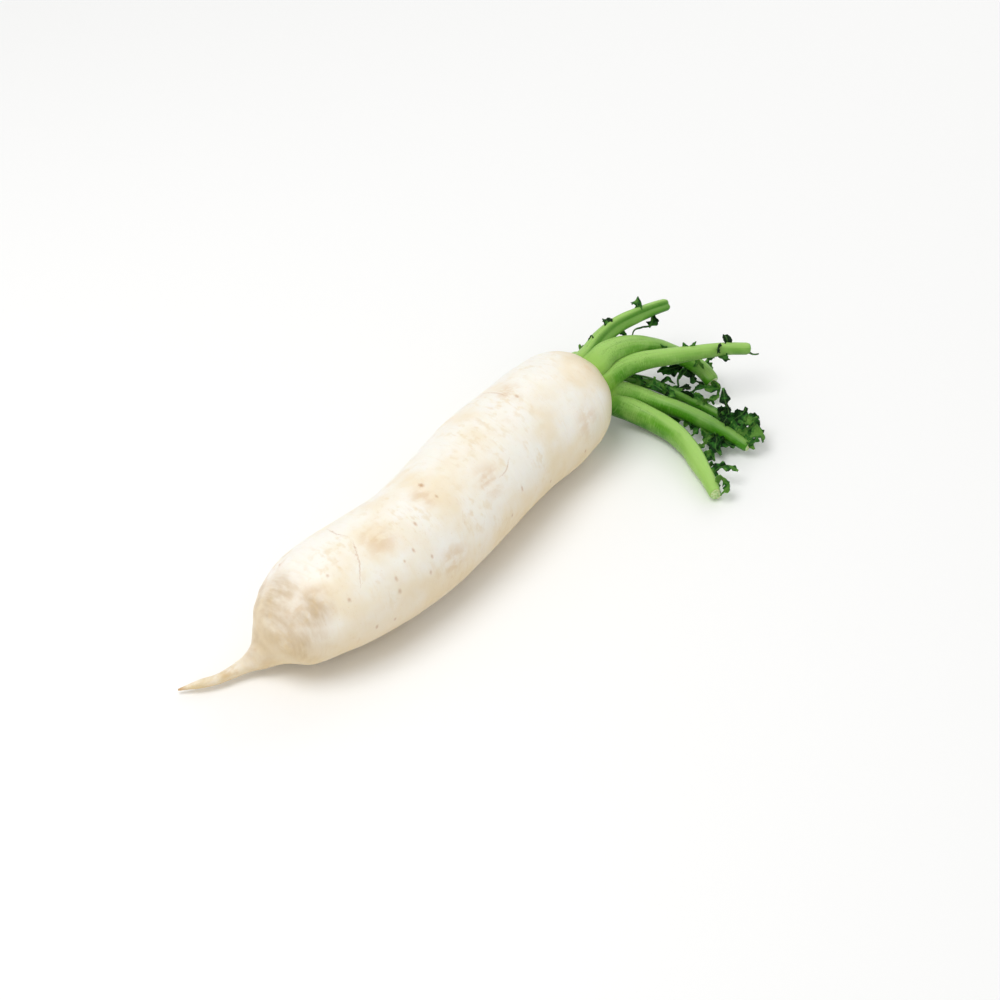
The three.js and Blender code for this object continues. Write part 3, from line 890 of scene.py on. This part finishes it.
    def section(self, share: float) -> tuple[Vector, Vector, float]:
        """Works out a cross-section.

        Args:
            share: 0 at the tail's tip, 1 at the head's flat top.

        Returns:
            Its middle, the direction that it faces, and its radius.
        """
        if share <= self.body_share:
            t = self.axis.at_length(share / self.body_share)
            centre = self.axis.point(t)
            return centre, self.facing(centre.x, t), self.radii.point(t).y
        angle = self.head_angle * (share - self.body_share) / (1 - self.body_share)
        distance = self.head_length * math.sin(angle) / math.sin(self.head_angle)
        return self.neck + self.outward * distance, self.outward, self.widest * math.cos(angle)

    def build(self) -> bmesh.types.BMesh:
        """Builds the skin with its swellings, rings, pits and scars.

        Returns:
            A closed skin that rests on the ground.
        """
        bm = straight_tube(self.sides, self.rings)
        sections = {}

        def at(share: float, angle: float, radius: float) -> Vector:
            """Finds a place on the skin, or inside an end.

            Args:
                share: How far it is from the tail's tip to the head's top.
                angle: The angle about the middle line.
                radius: 1 on the skin and 0 on the middle line.

            Returns:
                The place in the model's frame.
            """
            key = round(share * self.rings)
            if key not in sections:
                centre, facing, size = self.section(key / self.rings)
                side = UP.cross(facing).normalized()
                sections[key] = centre, side, facing.cross(side), size
            centre, side, up, size = sections[key]
            reach = (centre.x - self.stations[0][0]) / self.length
            oval = self.oval * math.cos(2 * angle + self.oval_twist * reach)
            turned = math.cos(self.knobble_sides * angle + self.knobble_turn)
            knobble = self.knobble * turned * math.sin(self.knobble_waves * reach)
            r = size * (1 + oval + knobble) * radius
            return centre + side * (r * math.cos(angle)) + up * (r * math.sin(angle))

        place_tube(bm, at, self.length)
        self._refine(bm)
        self._roughen(bm)
        for vert in bm.verts:
            vert.co.z = max(vert.co.z, 0)
        return bm

    def marks(self) -> list[Scar]:
        """Lists the scars, with the cracks as rows of small scars that touch.

        Returns:
            The scars.
        """
        marks = [Scar(*row) for row in self.scars]
        for crack in self.cracks:
            course = Curve(crack)
            count = round(course.length / (self.crack_width * self.crack_step))
            for i in range(count + 1):
                spot = course.point(course.at_length(i / count))
                wander = self.crack_wander * noise.noise(spot * 0.5)
                open_share = math.sin(math.pi * (i + 1) / (count + 2))
                thin = self.crack_width * (self.crack_tip + (1 - self.crack_tip) * open_share)
                depth = self.crack_depth * thin / self.crack_width
                marks.append(Scar(spot.x + wander, spot.y, spot.z, thin, thin, depth))
        return marks

    def _refine(self, bm: bmesh.types.BMesh) -> None:
        """Splits the faces round each scar, so that its pit can be small and sharp.

        Args:
            bm: The smooth skin.
        """
        near = sort_places([face.calc_center_median() for face in bm.faces])
        bm.faces.ensure_lookup_table()
        edges = set()
        for mark in self.marks():
            for _, i, _ in near.find_range(mark.place, mark.width + self.scar_margin):
                if len(bm.faces[i].verts) == 4:
                    edges.update(bm.faces[i].edges)
        bmesh.ops.subdivide_edges(bm, edges=list(edges), cuts=self.scar_cuts, use_grid_fill=True)

    def _roughen(self, bm: bmesh.types.BMesh) -> None:
        """Moves the skin in and out, and marks its scars, its bruises and where soil rubbed it.

        Args:
            bm: The refined skin.
        """
        scar_layer = bm.verts.layers.float.new("scar")
        bruise_layer = bm.verts.layers.float.new("bruise")
        soil_layer = bm.verts.layers.float.new("soil")
        bm.normal_update()
        near = sort_places([vert.co for vert in bm.verts])
        bm.verts.ensure_lookup_table()
        pits = [0.0] * len(bm.verts)
        for mark in self.marks():
            centre = near.find(mark.place)[0]
            for spot, i, _ in near.find_range(centre, mark.width + self.scar_reach):
                distance = mark.distance(centre, spot)
                pits[i] = max(pits[i], mark.pit(distance))
                pits[i] -= mark.lip(distance) if pits[i] < self.lip_limit else 0
                bm.verts[i][scar_layer] = max(bm.verts[i][scar_layer], mark.stain(distance))
        for layer, patches in ((bruise_layer, self.bruises), (soil_layer, self.soiled)):
            for x, y, z, radius in patches:
                for _, i, distance in near.find_range(Vector((x, y, z)), radius):
                    fade = 1 - ease(distance, radius * self.patch_core, radius)
                    bm.verts[i][layer] = max(bm.verts[i][layer], fade)
        moves = [self.relief.height(vert.co) - pit for vert, pit in zip(bm.verts, pits)]
        for vert, move in zip(bm.verts, moves):
            vert.co += vert.normal * move


@dataclass
class Stem:
    """The short stem, a ring of scarred tissue that the leaf stalks clasp."""

    # The outline's points: radius, and height from the stem's middle.
    profile: tuple[tuple[float, float], ...] = (
        (13, -10), (15.4, -7), (15.8, -2), (14.6, 3), (9, 6.5), (0.5, 8),
    )
    # How far its middle stands above the root's head, and how long the outline is.
    middle_height: float = 6
    length: float = 18
    sides: int = 72
    rings: int = 44
    scars: int = 9
    scar_depth: float = 0.035
    # Layers of noise: the height of each and its waves per millimetre.
    lumps: tuple[tuple[float, float], ...] = ((0.35, 0.6), (0.2, 1.7))
    lump_offset: float = -0.3
    tip_radius: float = 1

    def build(self, place: Matrix) -> bmesh.types.BMesh:
        """Builds the stem.

        Args:
            place: From the stem's frame to the model's.

        Returns:
            A closed stem.
        """
        bm = straight_tube(self.sides, self.rings)
        outline = Curve([(r, x, 0) for r, x in self.profile])

        def at(share: float, angle: float, radius: float) -> Vector:
            """Finds a place on the stem, with its lumps and scars.

            Args:
                share: How far it is along the outline.
                angle: The angle about the stem's middle.
                radius: 1 on the surface and 0 inside.

            Returns:
                The place in the model's frame.
            """
            r, x, _ = outline.point(share)
            reach = r * (1 + self.scar_depth * (math.cos(self.scars * angle) - 1)) * radius
            spot = Vector((x, reach * math.cos(angle), reach * math.sin(angle)))
            lump = self.lump_offset + rumple(spot, self.lumps)
            outward = Vector((0, spot.y, spot.z)).normalized() if r > self.tip_radius else Vector()
            return place @ (spot + outward * lump * radius)

        place_tube(bm, at, self.length)
        bmesh.ops.recalc_face_normals(bm, faces=bm.faces)
        return bm


@dataclass
class Lobe:
    """What is left of one leaf lobe: a thin torn blade on a curled rib.

    The share is the part of the stalk's length at which it grows, and the roll turns the blade about
    its rib by degrees. A lobe with a very small half width is a bare thread.
    """

    share: float
    half: float
    roll: float
    rib: tuple[Point, ...]

    # The blade, its facing side and the rows and columns of its mesh.
    THICKNESS = 0.6
    FACING = Vector((-0.6, -0.43, 0.67))
    THREAD = 1.0
    ROW_STEP = 0.75
    FEWEST_ROWS = 10
    COLUMNS = 14
    THREAD_COLUMNS = 4
    THREAD_TAPER = 0.6
    # Its tone, and layers of noise: the height of each and its waves per millimetre.
    TONES = (0.1, 1.1)
    TONE_DRIFT = ((0.35, 0.25),)
    RIB_EDGE = (0.15, 0.5)
    # Its edges curl up, are ruffled and sweep ahead, by shares of its half width.
    CURL = 0.35
    RUFFLE = 0.3
    RUFFLE_WAVES = 0.9
    CRUMPLES = ((0.9, 0.4), (0.25, 1.1))
    SWEEP = 0.3
    # Its outline is an arc of a sine with teeth, and tears cut into it.
    OUTLINE_START = 0.1
    OUTLINE_SPAN = 0.86
    NARROWEST = 0.22
    FULLEST = 1.1
    TEETH = ((0.55, 0.42), (0.22, 1.5))
    TEAR = 0.75
    TEAR_WAVES = 0.24
    TEAR_EDGE = (0.1, 0.38)
    TEAR_PLACE = Vector((0, 0, 5))
    PHASE_SPREAD = 9

    def build(self, stalk: Curve, place: Matrix, rng: random.Random) -> bmesh.types.BMesh:
        """Builds the blade.

        Args:
            stalk: The middle line of the stalk that carries it.
            place: From the stem's frame to the model's.
            rng: The seeded draws for its tone, tears and waves.

        Returns:
            A flat sheet, which the piece gives its thickness.
        """
        start = stalk.point(stalk.at_length(self.share))
        rib = Curve([start, *self.rib])
        rows = max(self.FEWEST_ROWS, round(rib.length / self.ROW_STEP))
        columns = self.COLUMNS if self.half > self.THREAD else self.THREAD_COLUMNS
        bm = bmesh.new()
        bmesh.ops.create_grid(bm, x_segments=columns, y_segments=rows, size=1)
        rib_layer = bm.verts.layers.float.new("rib")
        tone_layer = bm.verts.layers.float.new("tone")
        tone = rng.uniform(*self.TONES)
        phases = [rng.uniform(0, math.tau) for _ in range(4)]
        frames = self._frames(rib, rows)
        for vert in bm.verts:
            v, s = vert.co.x, (vert.co.y + 1) / 2
            point, ahead, sideways, upward = frames[round(s * rows)]
            side = 1 if v > 0 else 0
            half = self._half_width(s, side, rib.length, phases)
            spot = point + sideways * (v * half)
            lift = self.CURL * v * v * half
            wave = math.sin(rib.length * s * self.RUFFLE_WAVES + phases[2 + side])
            ruffle = self.RUFFLE * half * v * v * wave
            crumple = rumple(spot, self.CRUMPLES) * abs(v) ** 0.5
            sweep = self.SWEEP * half * abs(v) * math.sin(math.pi * s)
            vert.co = place @ (spot + upward * (lift + ruffle + crumple) + ahead * sweep)
            vert[rib_layer] = 1 - ease(abs(v) * half, *self.RIB_EDGE)
            vert[tone_layer] = clamp(tone + rumple(spot, self.TONE_DRIFT))
        bmesh.ops.recalc_face_normals(bm, faces=bm.faces)
        return bm

    def _frames(self, rib: Curve, count: int) -> list[tuple[Vector, Vector, Vector, Vector]]:
        """Works out places and directions along the rib.

        Args:
            rib: The rib's middle line.
            count: How many steps it is read in.

        Returns:
            Each step's middle, ahead, sideways and up from the blade.
        """
        across = rib.heading(0).cross(self.FACING)
        turn = math.radians(self.roll)
        frames = []
        for i in range(count + 1):
            t = rib.at_length(i / count)
            ahead = rib.heading(t)
            across = (across - ahead * across.dot(ahead)).normalized()
            sideways = Matrix.Rotation(turn, 3, ahead) @ across
            frames.append((rib.point(t), ahead, sideways, sideways.cross(ahead)))
        return frames

    def _half_width(self, s: float, side: int, length: float, phases: Sequence[float]) -> float:
        """Works out how wide the blade is on one side, with its teeth and tears.

        Args:
            s: The share of its rib.
            side: 0 or 1.
            length: The rib's length.
            phases: The lobe's own draws, of which each side reads one.

        Returns:
            The width from the rib to the edge.
        """
        if self.half < self.THREAD:
            return self.half * (1 - self.THREAD_TAPER * s)
        bulge = math.sin(math.pi * (self.OUTLINE_START + self.OUTLINE_SPAN * s))
        swell = max(self.NARROWEST, bulge)
        edge = Vector((length * s, phases[side] * self.PHASE_SPREAD, self.half))
        torn = noise.noise(edge * self.TEAR_WAVES + self.TEAR_PLACE)
        tear = self.TEAR * ease(torn, *self.TEAR_EDGE)
        return self.half * swell * (self.FULLEST + rumple(edge, self.TEETH)) * (1 - tear)


@dataclass
class LeafStalk:
    """A leaf stalk: rounded outside, channelled inside, ribbed, and cut off short.

    The half sizes run from the stem to the cut, across the stalk and through its channel. Bleach and shade
    run the same way, from -1 for the deepest green to 1 for the palest; the deep end is partly painted
    shade, on stretches that lie under other stalks.
    """

    name: str
    path: tuple[Point, ...]
    half: tuple[tuple[float, float], ...]
    lobes: tuple[Lobe, ...]
    groove: float = 0.42
    groove_sharpness: int = 5
    channel_turn: float = 0.0
    bleach_and_shade: tuple[float, ...] = (0.2, 0.0)
    ribs: int = 17
    rib_depth: float = 0.007
    rib_twist: float = 2
    ring_step: float = 0.9
    sides: int = 54
    seed: int = 1
    curve: Curve = field(init=False)

    # Soft lumps, and a worn and dished cut end.
    LUMP = 0.05
    LUMP_WAVES = 1.6
    LUMP_STRETCH = 0.05
    SEED_STEP = 7
    WEAR = 0.16
    WEAR_LENGTH = 2.5
    DISH = 0.8
    CUT_SHARE = 0.99

    def __post_init__(self) -> None:
        """Works out the stalk's middle line."""
        self.curve = Curve(self.path)

    def _frames(self, count: int) -> list[tuple[Vector, Vector, Vector, Vector]]:
        """Works out places and directions along the stalk.

        Args:
            count: How many steps it is read in.

        Returns:
            Each step's middle, ahead, inner side and flank.
        """
        inner = Vector((0, -self.path[0][1], -self.path[0][2]))
        frames = []
        for i in range(count + 1):
            t = self.curve.at_length(i / count)
            ahead = self.curve.heading(t)
            inner = (inner - ahead * inner.dot(ahead)).normalized()
            frames.append((self.curve.point(t), ahead, inner.copy(), ahead.cross(inner)))
        return frames

    def build_stalk(self, place: Matrix) -> bmesh.types.BMesh:
        """Builds the stalk with its cut end.

        Args:
            place: From the stem's frame to the model's.

        Returns:
            A closed stalk whose cut face has material index 1.
        """
        length = self.curve.length
        count = round(length / self.ring_step)
        frames = self._frames(count)
        bm = straight_tube(self.sides, count)
        widths = [w for w, _ in self.half]
        depths = [d for _, d in self.half]
        seeded = Vector((self.seed * self.SEED_STEP, 0, 0))

        def at(share: float, angle: float, radius: float) -> Vector:
            """Finds a place on the stalk, with its channel, ribs and swellings.

            Args:
                share: How far it is from the stem to the cut.
                angle: The angle from the stalk's inner side.
                radius: 1 on the surface and 0 inside.

            Returns:
                The place in the model's frame.
            """
            point, ahead, inner, flank = frames[round(share * count)]
            facing = max(0.0, math.cos(angle - self.channel_turn))
            channel = 1 - self.groove * facing ** self.groove_sharpness
            rib = 1 + self.rib_depth * math.cos(self.ribs * angle + self.rib_twist * share)
            reach = share * length
            around = Vector((math.cos(angle), math.sin(angle), reach * self.LUMP_STRETCH))
            lump = 1 + self.LUMP * noise.noise(around * self.LUMP_WAVES + seeded)
            worn = 1 - self.WEAR * ease(reach, length - self.WEAR_LENGTH, length) ** 2
            size = channel * rib * lump * worn * radius
            x = between(depths, share) * math.cos(angle) * size
            y = between(widths, share) * math.sin(angle) * size
            dish = self.DISH * (radius - 1) if share > self.CUT_SHARE else 0
            return place @ (point + inner * x + flank * y + ahead * dish)

        place_tube(bm, at, length)
        straight = bm.verts.layers.float_vector["straight"]
        depth_layer = bm.verts.layers.float.new("depth")
        channel_layer = bm.verts.layers.float.new("channel")
        bleach_and_shade_layer = bm.verts.layers.float.new("bleach_and_shade")
        for vert in bm.verts:
            x, y, z = vert[straight]
            vert[depth_layer] = z / length
            vert[bleach_and_shade_layer] = between(self.bleach_and_shade, z / length)
            vert[channel_layer] = max(0.0, math.cos(math.atan2(y, x) - self.channel_turn))
        cut_middle = max(bm.verts, key=lambda v: (v[depth_layer], len(v.link_edges)))
        for face in cut_middle.link_faces:
            face.material_index = 1
        bmesh.ops.recalc_face_normals(bm, faces=bm.faces)
        return bm

    def build_lobes(self, place: Matrix) -> bmesh.types.BMesh:
        """Builds all the stalk's torn lobes in one mesh.

        Args:
            place: From the stem's frame to the model's.

        Returns:
            The lobes as flat sheets.
        """
        rng = random.Random(self.seed)
        whole = bpy.data.meshes.new(self.name + "_scratch")
        bm = bmesh.new()
        for lobe in self.lobes:
            single = lobe.build(self.curve, place, rng)
            single.to_mesh(whole)
            single.free()
            bm.from_mesh(whole)
        bpy.data.meshes.remove(whole)
        return bm


def lobes(*rows: tuple) -> tuple[Lobe, ...]:
    """Lobes from rows of share, half width, roll and the rib's points."""
    return tuple(Lobe(share, half, roll, points) for share, half, roll, *points in rows)


STALKS = (
    LeafStalk(
        "leaf_stalk_long",
        ((-7, -11.5, 1.6), (-2, -11.8, 1.2), (4, -11.8, 1.4), (15, -14, 3.8), (27, -21, 5), (41, -33, 5.4),
         (57, -45, 4.2), (70, -56, 3.4), (81.5, -66, 0.8)),
        ((9, 6), (7, 6), (5.6, 5.2), (4.6, 4.3), (3.9, 3.6)),
        lobes(
            (0.62, 1.5, 0, (50, -36, 12)),
            (0.62, 1.4, 0, (56, -42, 12)),
            (0.86, 2.8, 20, (73, -54, 9), (74, -51, 10)),
            (0.82, 2.4, -10, (61, -55, 9.5), (58, -57, 8)),
            (0.83, 2.8, 10, (65, -58, 0), (67, -61, -1)),
            (0.97, 0.8, 0, (81, -69, -2), (83.8, -72, -2)),
            (0.71, 3.4, 60, (64, -47, -3), (69, -50, -5)),
        ),
        bleach_and_shade=(0.0, 0.2, 0.45, 0.4, 0.35),
        seed=11,
    ),
    LeafStalk(
        "leaf_stalk_bent",
        ((-7, -7.4, -10), (-2, -8, -11), (2, -9.4, -13.4), (6.5, -14, -18.4), (11.5, -25, -22.6),
         (13, -42, -24.4), (11, -58, -25), (5.5, -73, -26.2), (-2.6, -86, -27.2), (-10.5, -97.5, -27.8),
         (-18.6, -107.8, -28.4)),
        ((10, 7), (9.6, 7.6), (8.8, 7), (7.8, 6.6), (5, 4.5)),
        lobes(
            (0.77, 2.6, 0, (5, -88, -23), (3, -92, -25)),
            (0.84, 2.2, 30, (-2, -94, -23), (-4, -97, -26)),
            (0.9, 2.8, -10, (-5, -98, -24), (-2, -101, -21), (1, -105, -21), (2, -110, -23)),
            (0.97, 3.4, 20, (-11, -106, -22), (-10.5, -110, -23), (-13, -112, -26), (-18.5, -110.5, -28)),
        ),
        bleach_and_shade=(-0.2, 0.0, 0.2, 0.7, 0.7),
        seed=12,
    ),
    LeafStalk(
        "leaf_stalk_straight",
        ((-7, -10.6, -4.6), (-2, -11, -5.2), (6, -12.6, -8), (17, -21, -14.6), (23, -34.5, -18.8),
         (26, -52, -19.6), (28, -69, -21.8), (29, -86, -24.4), (28, -101, -26.4)),
        ((8.6, 5.6), (6.6, 5.4), (5.8, 5.1), (5.4, 4.8), (3.6, 3.4)),
        lobes(
            (0.8, 3.8, 0, (37, -80, -15), (39, -76, -9), (42, -72, -2)),
            (0.84, 4.6, 20, (36, -85, -17), (40, -88, -14), (43, -89, -10)),
            (0.88, 4.6, -20, (38, -90, -18), (42, -93, -17), (46, -97, -16)),
            (0.92, 5, 20, (37, -95, -21), (43, -98, -21), (43, -102, -25)),
            (0.97, 4.2, -30, (33, -101, -21), (37, -104, -21), (36, -107, -25)),
            (0.98, 3.2, 40, (29, -104, -22), (31, -105, -18)),
            (0.8, 5, 0, (37, -82, -22), (39, -86, -24), (38, -90, -26)),
            (0.76, 4.2, 30, (38, -74, -18), (44, -77, -18)),
            (0.38, 3, 0, (24, -38, -24), (25, -44, -26)),
            (0.46, 3.6, 30, (24, -48, -25), (26, -54, -27)),
            (0.55, 3.6, -20, (24, -58, -25), (25, -64, -28)),
            (0.62, 3.2, 20, (24, -66, -26), (19, -65, -29)),
            (0.69, 4, -30, (23, -73, -27), (18, -75, -30), (14, -73, -30)),
            (0.75, 4.6, 10, (23, -81, -26), (17, -84, -28), (14, -90, -29)),
            (0.81, 5, -20, (24, -87, -27), (23, -94, -27)),
            (0.72, 4.6, 40, (25, -77, -28), (26, -84, -29)),
        ),
        bleach_and_shade=(0.4, 0.2, -0.3, -0.5, -0.45),
        seed=13,
    ),
    LeafStalk(
        "leaf_stalk_top",
        ((-7, 5, 11), (0, 5.4, 10.6), (7, 5.6, 11), (20, 6, 14.6), (33, 4, 17.2), (47, -1, 18.6),
         (63, -6, 17.4), (73, -8.2, 15)),
        ((9, 6), (7, 5.6), (6, 5.2), (5.2, 4.6), (4.4, 3.9)),
        lobes(
            (0.26, 1.8, 0, (13, 9, 16.5), (17, 11, 17)),
            (0.44, 2.4, 30, (29, 7, 21), (30, 10, 22), (29, 11, 20)),
            (0.73, 3.2, -20, (52, 0, 23.6), (54, 3, 24.6), (53, 5, 21.6)),
            (0.82, 3.4, 25, (58, -8, 10.6), (54, -8, 8.4)),
            (0.85, 0.8, 0, (55, -8, 9.4), (52, -4, 8), (48, -1, 7), (45, -1, 4)),
            (0.49, 1.7, 0, (36, -3, 11)),
            (0.62, 2.8, 60, (52, 2, 13.4), (57, 0, 11.4)),
        ),
        channel_turn=math.radians(-115),
        bleach_and_shade=(0.6, 0.5, 0.2, 0.1),
        seed=14,
    ),
    LeafStalk(
        "leaf_stalk_arched",
        ((-7, -3.6, 11.6), (-1, -3.6, 11.6), (4, -3.6, 12.2), (11, -4.2, 14), (26, -9, 12), (44, -16, 3),
         (57, -24, -7), (64, -34, -14), (66, -43, -19), (64, -51, -22.5)),
        ((9, 6), (7.4, 6), (6.8, 5.8), (6.2, 5.4), (5.6, 5)),
        lobes(
            (0.57, 1.8, 20, (47, -23, 4), (48, -26, 5)),
            (0.83, 4.2, 10, (62, -28, -19), (56, -23, -20), (50, -18, -21)),
            (0.83, 3.6, -30, (57, -34, -18), (53, -32, -22)),
            (0.82, 0.8, 0, (53, -32, -20), (49, -35, -24), (45, -38, -28)),
            (0.82, 2.8, 10, (62, -41, -10), (62, -45, -13)),
            (0.88, 2.8, 40, (61, -38, -22), (61, -43, -25), (62, -48, -26)),
            (0.98, 2.4, -20, (64, -55, -25), (60, -52, -25), (56, -47, -24), (51, -44, -25), (48, -44, -27)),
            (0.98, 2.2, 30, (64, -56, -26), (60, -56, -30), (56, -52, -32)),
            (0.88, 4, 50, (76, -39, -21), (79, -42, -25)),
        ),
        bleach_and_shade=(0.6, 0.35, -0.15, -0.15, -0.3),
        seed=15,
    ),
    LeafStalk(
        "leaf_stalk_thin",
        ((-6, -1.5, -8), (8, -3.5, -7.5), (20, -11, -10), (31, -22, -14), (38.5, -36, -20), (43, -48, -24),
         (46, -62, -28), (47, -78, -30)),
        ((7, 5), (4.8, 4.4), (4.2, 4), (4, 3.7), (3.7, 3.5)),
        lobes(
            (0.3, 3.4, 20, (24, -20, -9), (24, -26, -9)),
            (0.42, 3.6, -10, (28, -27, -11), (26, -32, -9), (25, -38, -9)),
            (0.52, 3.6, 20, (33, -37, -15), (29, -41, -12), (28, -46, -12)),
            (0.53, 4, -10, (40, -39, -22), (42, -46, -26)),
            (0.63, 3.6, 30, (42, -47, -21), (42, -52, -25)),
            (0.5, 1.8, 0, (42, -32, -15), (43, -36, -17)),
            (0.7, 3.4, 0, (44, -53, -21), (43, -58, -24)),
            (0.77, 2.8, 30, (48, -58, -22), (48, -63, -24)),
            (0.81, 3.6, 20, (44, -64, -30), (44, -70, -31)),
            (0.58, 4, 60, (49, -37, -24), (56, -40, -27)),
        ),
        # The whole thin stalk is painted a deeper green, as shade from the stalks above it.
        bleach_and_shade=(-0.5, -0.6, -0.5, -0.45),
        seed=16,
    ),
    LeafStalk(
        "leaf_stub_back",
        ((-7, 11, 1), (4, 12, -1), (10, 17, -3.5), (16, 23, -7)),
        ((8.4, 5.4), (6.4, 5), (5.4, 4.6)),
        lobes((0.7, 3, 40, (17, 19, 1), (22, 21, 1))),
        seed=17,
    ),
    LeafStalk(
        "leaf_stub_low",
        ((-7, 6, -10.5), (5, 8, -13), (13, 11, -18), (21, 15, -22)),
        ((8.4, 5.4), (6.6, 5.2), (5.4, 4.8)),
        lobes((0.75, 3, -40, (20, 8, -26), (25, 9, -29))),
        seed=18,
    ),
)


class Light(Enum):
    """The soft boxes: where each stands, how large it is and how bright, in metres and watts."""

    KEY = ((-0.6, 0.15, 1.6), 1.1, 13.4)
    FILL = ((-1.4, -0.5, 0.9), 1.3, 0.3)
    RIM = ((1.3, 0.2, 0.9), 0.9, 2.6)


@dataclass
class Studio:
    """The pale floor, the soft boxes and the camera at the photograph's view."""

    elevation: float = math.radians(42)
    turn: float = math.radians(49)
    lens_mm: float = 105
    sensor_mm: float = 36
    sight_limit: float = 20
    distance: float = 1.75
    look_at: Point = (0.027, -0.017, 0.030)
    floor_colour: str = "FCFCFB"
    floor_roughness: float = 0.7
    floor_size: float = 8.0
    surroundings_colour: str = "FFFFFF"
    surroundings_strength: float = 0.6

    def camera(self) -> None:
        """Sets the camera."""
        level = Vector((math.sin(self.turn), math.cos(self.turn), 0))
        ahead = level * math.cos(self.elevation) - UP * math.sin(self.elevation)
        right = Vector((math.cos(self.turn), -math.sin(self.turn), 0))
        above = right.cross(ahead)
        data = bpy.data.cameras.new("camera")
        data.lens = self.lens_mm
        data.sensor_width = self.sensor_mm
        data.clip_end = self.sight_limit
        camera = bpy.data.objects.new("camera", data)
        turned = Matrix((right, above, -ahead)).transposed().to_4x4()
        camera.matrix_world = Matrix.Translation(Vector(self.look_at) - ahead * self.distance) @ turned
        bpy.context.scene.collection.objects.link(camera)
        bpy.context.scene.camera = camera

    def floor(self) -> None:
        """Lays the floor at the height on which the root rests."""
        bm = bmesh.new()
        bmesh.ops.create_grid(bm, x_segments=1, y_segments=1, size=self.floor_size / 2)
        mesh = bpy.data.meshes.new("floor")
        bm.to_mesh(mesh)
        bm.free()
        s = Shader("pale_floor")
        matt = s.add("BsdfPrincipled", {"Base Color": self.floor_colour, "Roughness": self.floor_roughness})
        mesh.materials.append(s.finish(matt))
        floor = bpy.data.objects.new("floor", mesh)
        bpy.context.scene.collection.objects.link(floor)

    def lights(self) -> None:
        """Hangs the soft boxes and sets the pale surroundings."""
        for light in Light:
            place, size, power = light.value
            data = bpy.data.lights.new(light.name.lower() + "_softbox", "AREA")
            data.shape = "DISK"
            data.size = size
            data.energy = power
            lamp = bpy.data.objects.new(data.name, data)
            aim = Vector(self.look_at) - Vector(place)
            lamp.rotation_euler = aim.to_track_quat("-Z", "Y").to_euler()
            lamp.location = place
            bpy.context.scene.collection.objects.link(lamp)
        world = bpy.data.worlds.new("pale_surroundings")
        world.use_nodes = True
        background = world.node_tree.nodes["Background"]
        background.inputs["Color"].default_value = linear(self.surroundings_colour)
        background.inputs["Strength"].default_value = self.surroundings_strength
        bpy.context.scene.world = world
        bpy.context.scene.view_settings.view_transform = "Standard"


def main() -> None:
    """Builds the radish and its studio."""
    logging.basicConfig(level=logging.INFO, format="%(message)s")
    studio = Studio()
    studio.camera()
    studio.floor()
    studio.lights()

    root = Root()
    stem = Stem()
    stem_middle = root.neck + root.outward * (root.head_length + stem.middle_height)
    place = Matrix.Translation(stem_middle) @ Matrix.Rotation(root.head_yaw, 4, "Z")

    Piece("daikon_root", root.build(), [RootSkin().material()]).stands_for("root", "root_skin")
    Piece("short_stem", stem.build(place), [StemSkin().material()]).stands_for("stem", "stem_green")
    stalk_looks = [StalkSkin().material(), CutEnd().material()]
    blade_looks = [LeafBlade().material()]
    for stalk in STALKS:
        bare = Piece(stalk.name + "_skin", stalk.build_stalk(place), stalk_looks)
        bare.stands_for(stalk.name, "leaf_green")
        torn = Piece(stalk.name + "_lobes", stalk.build_lobes(place), blade_looks)
        torn.thicken(Lobe.THICKNESS).stands_for(stalk.name, "leaf_green")


if __name__ == "__main__":
    main()
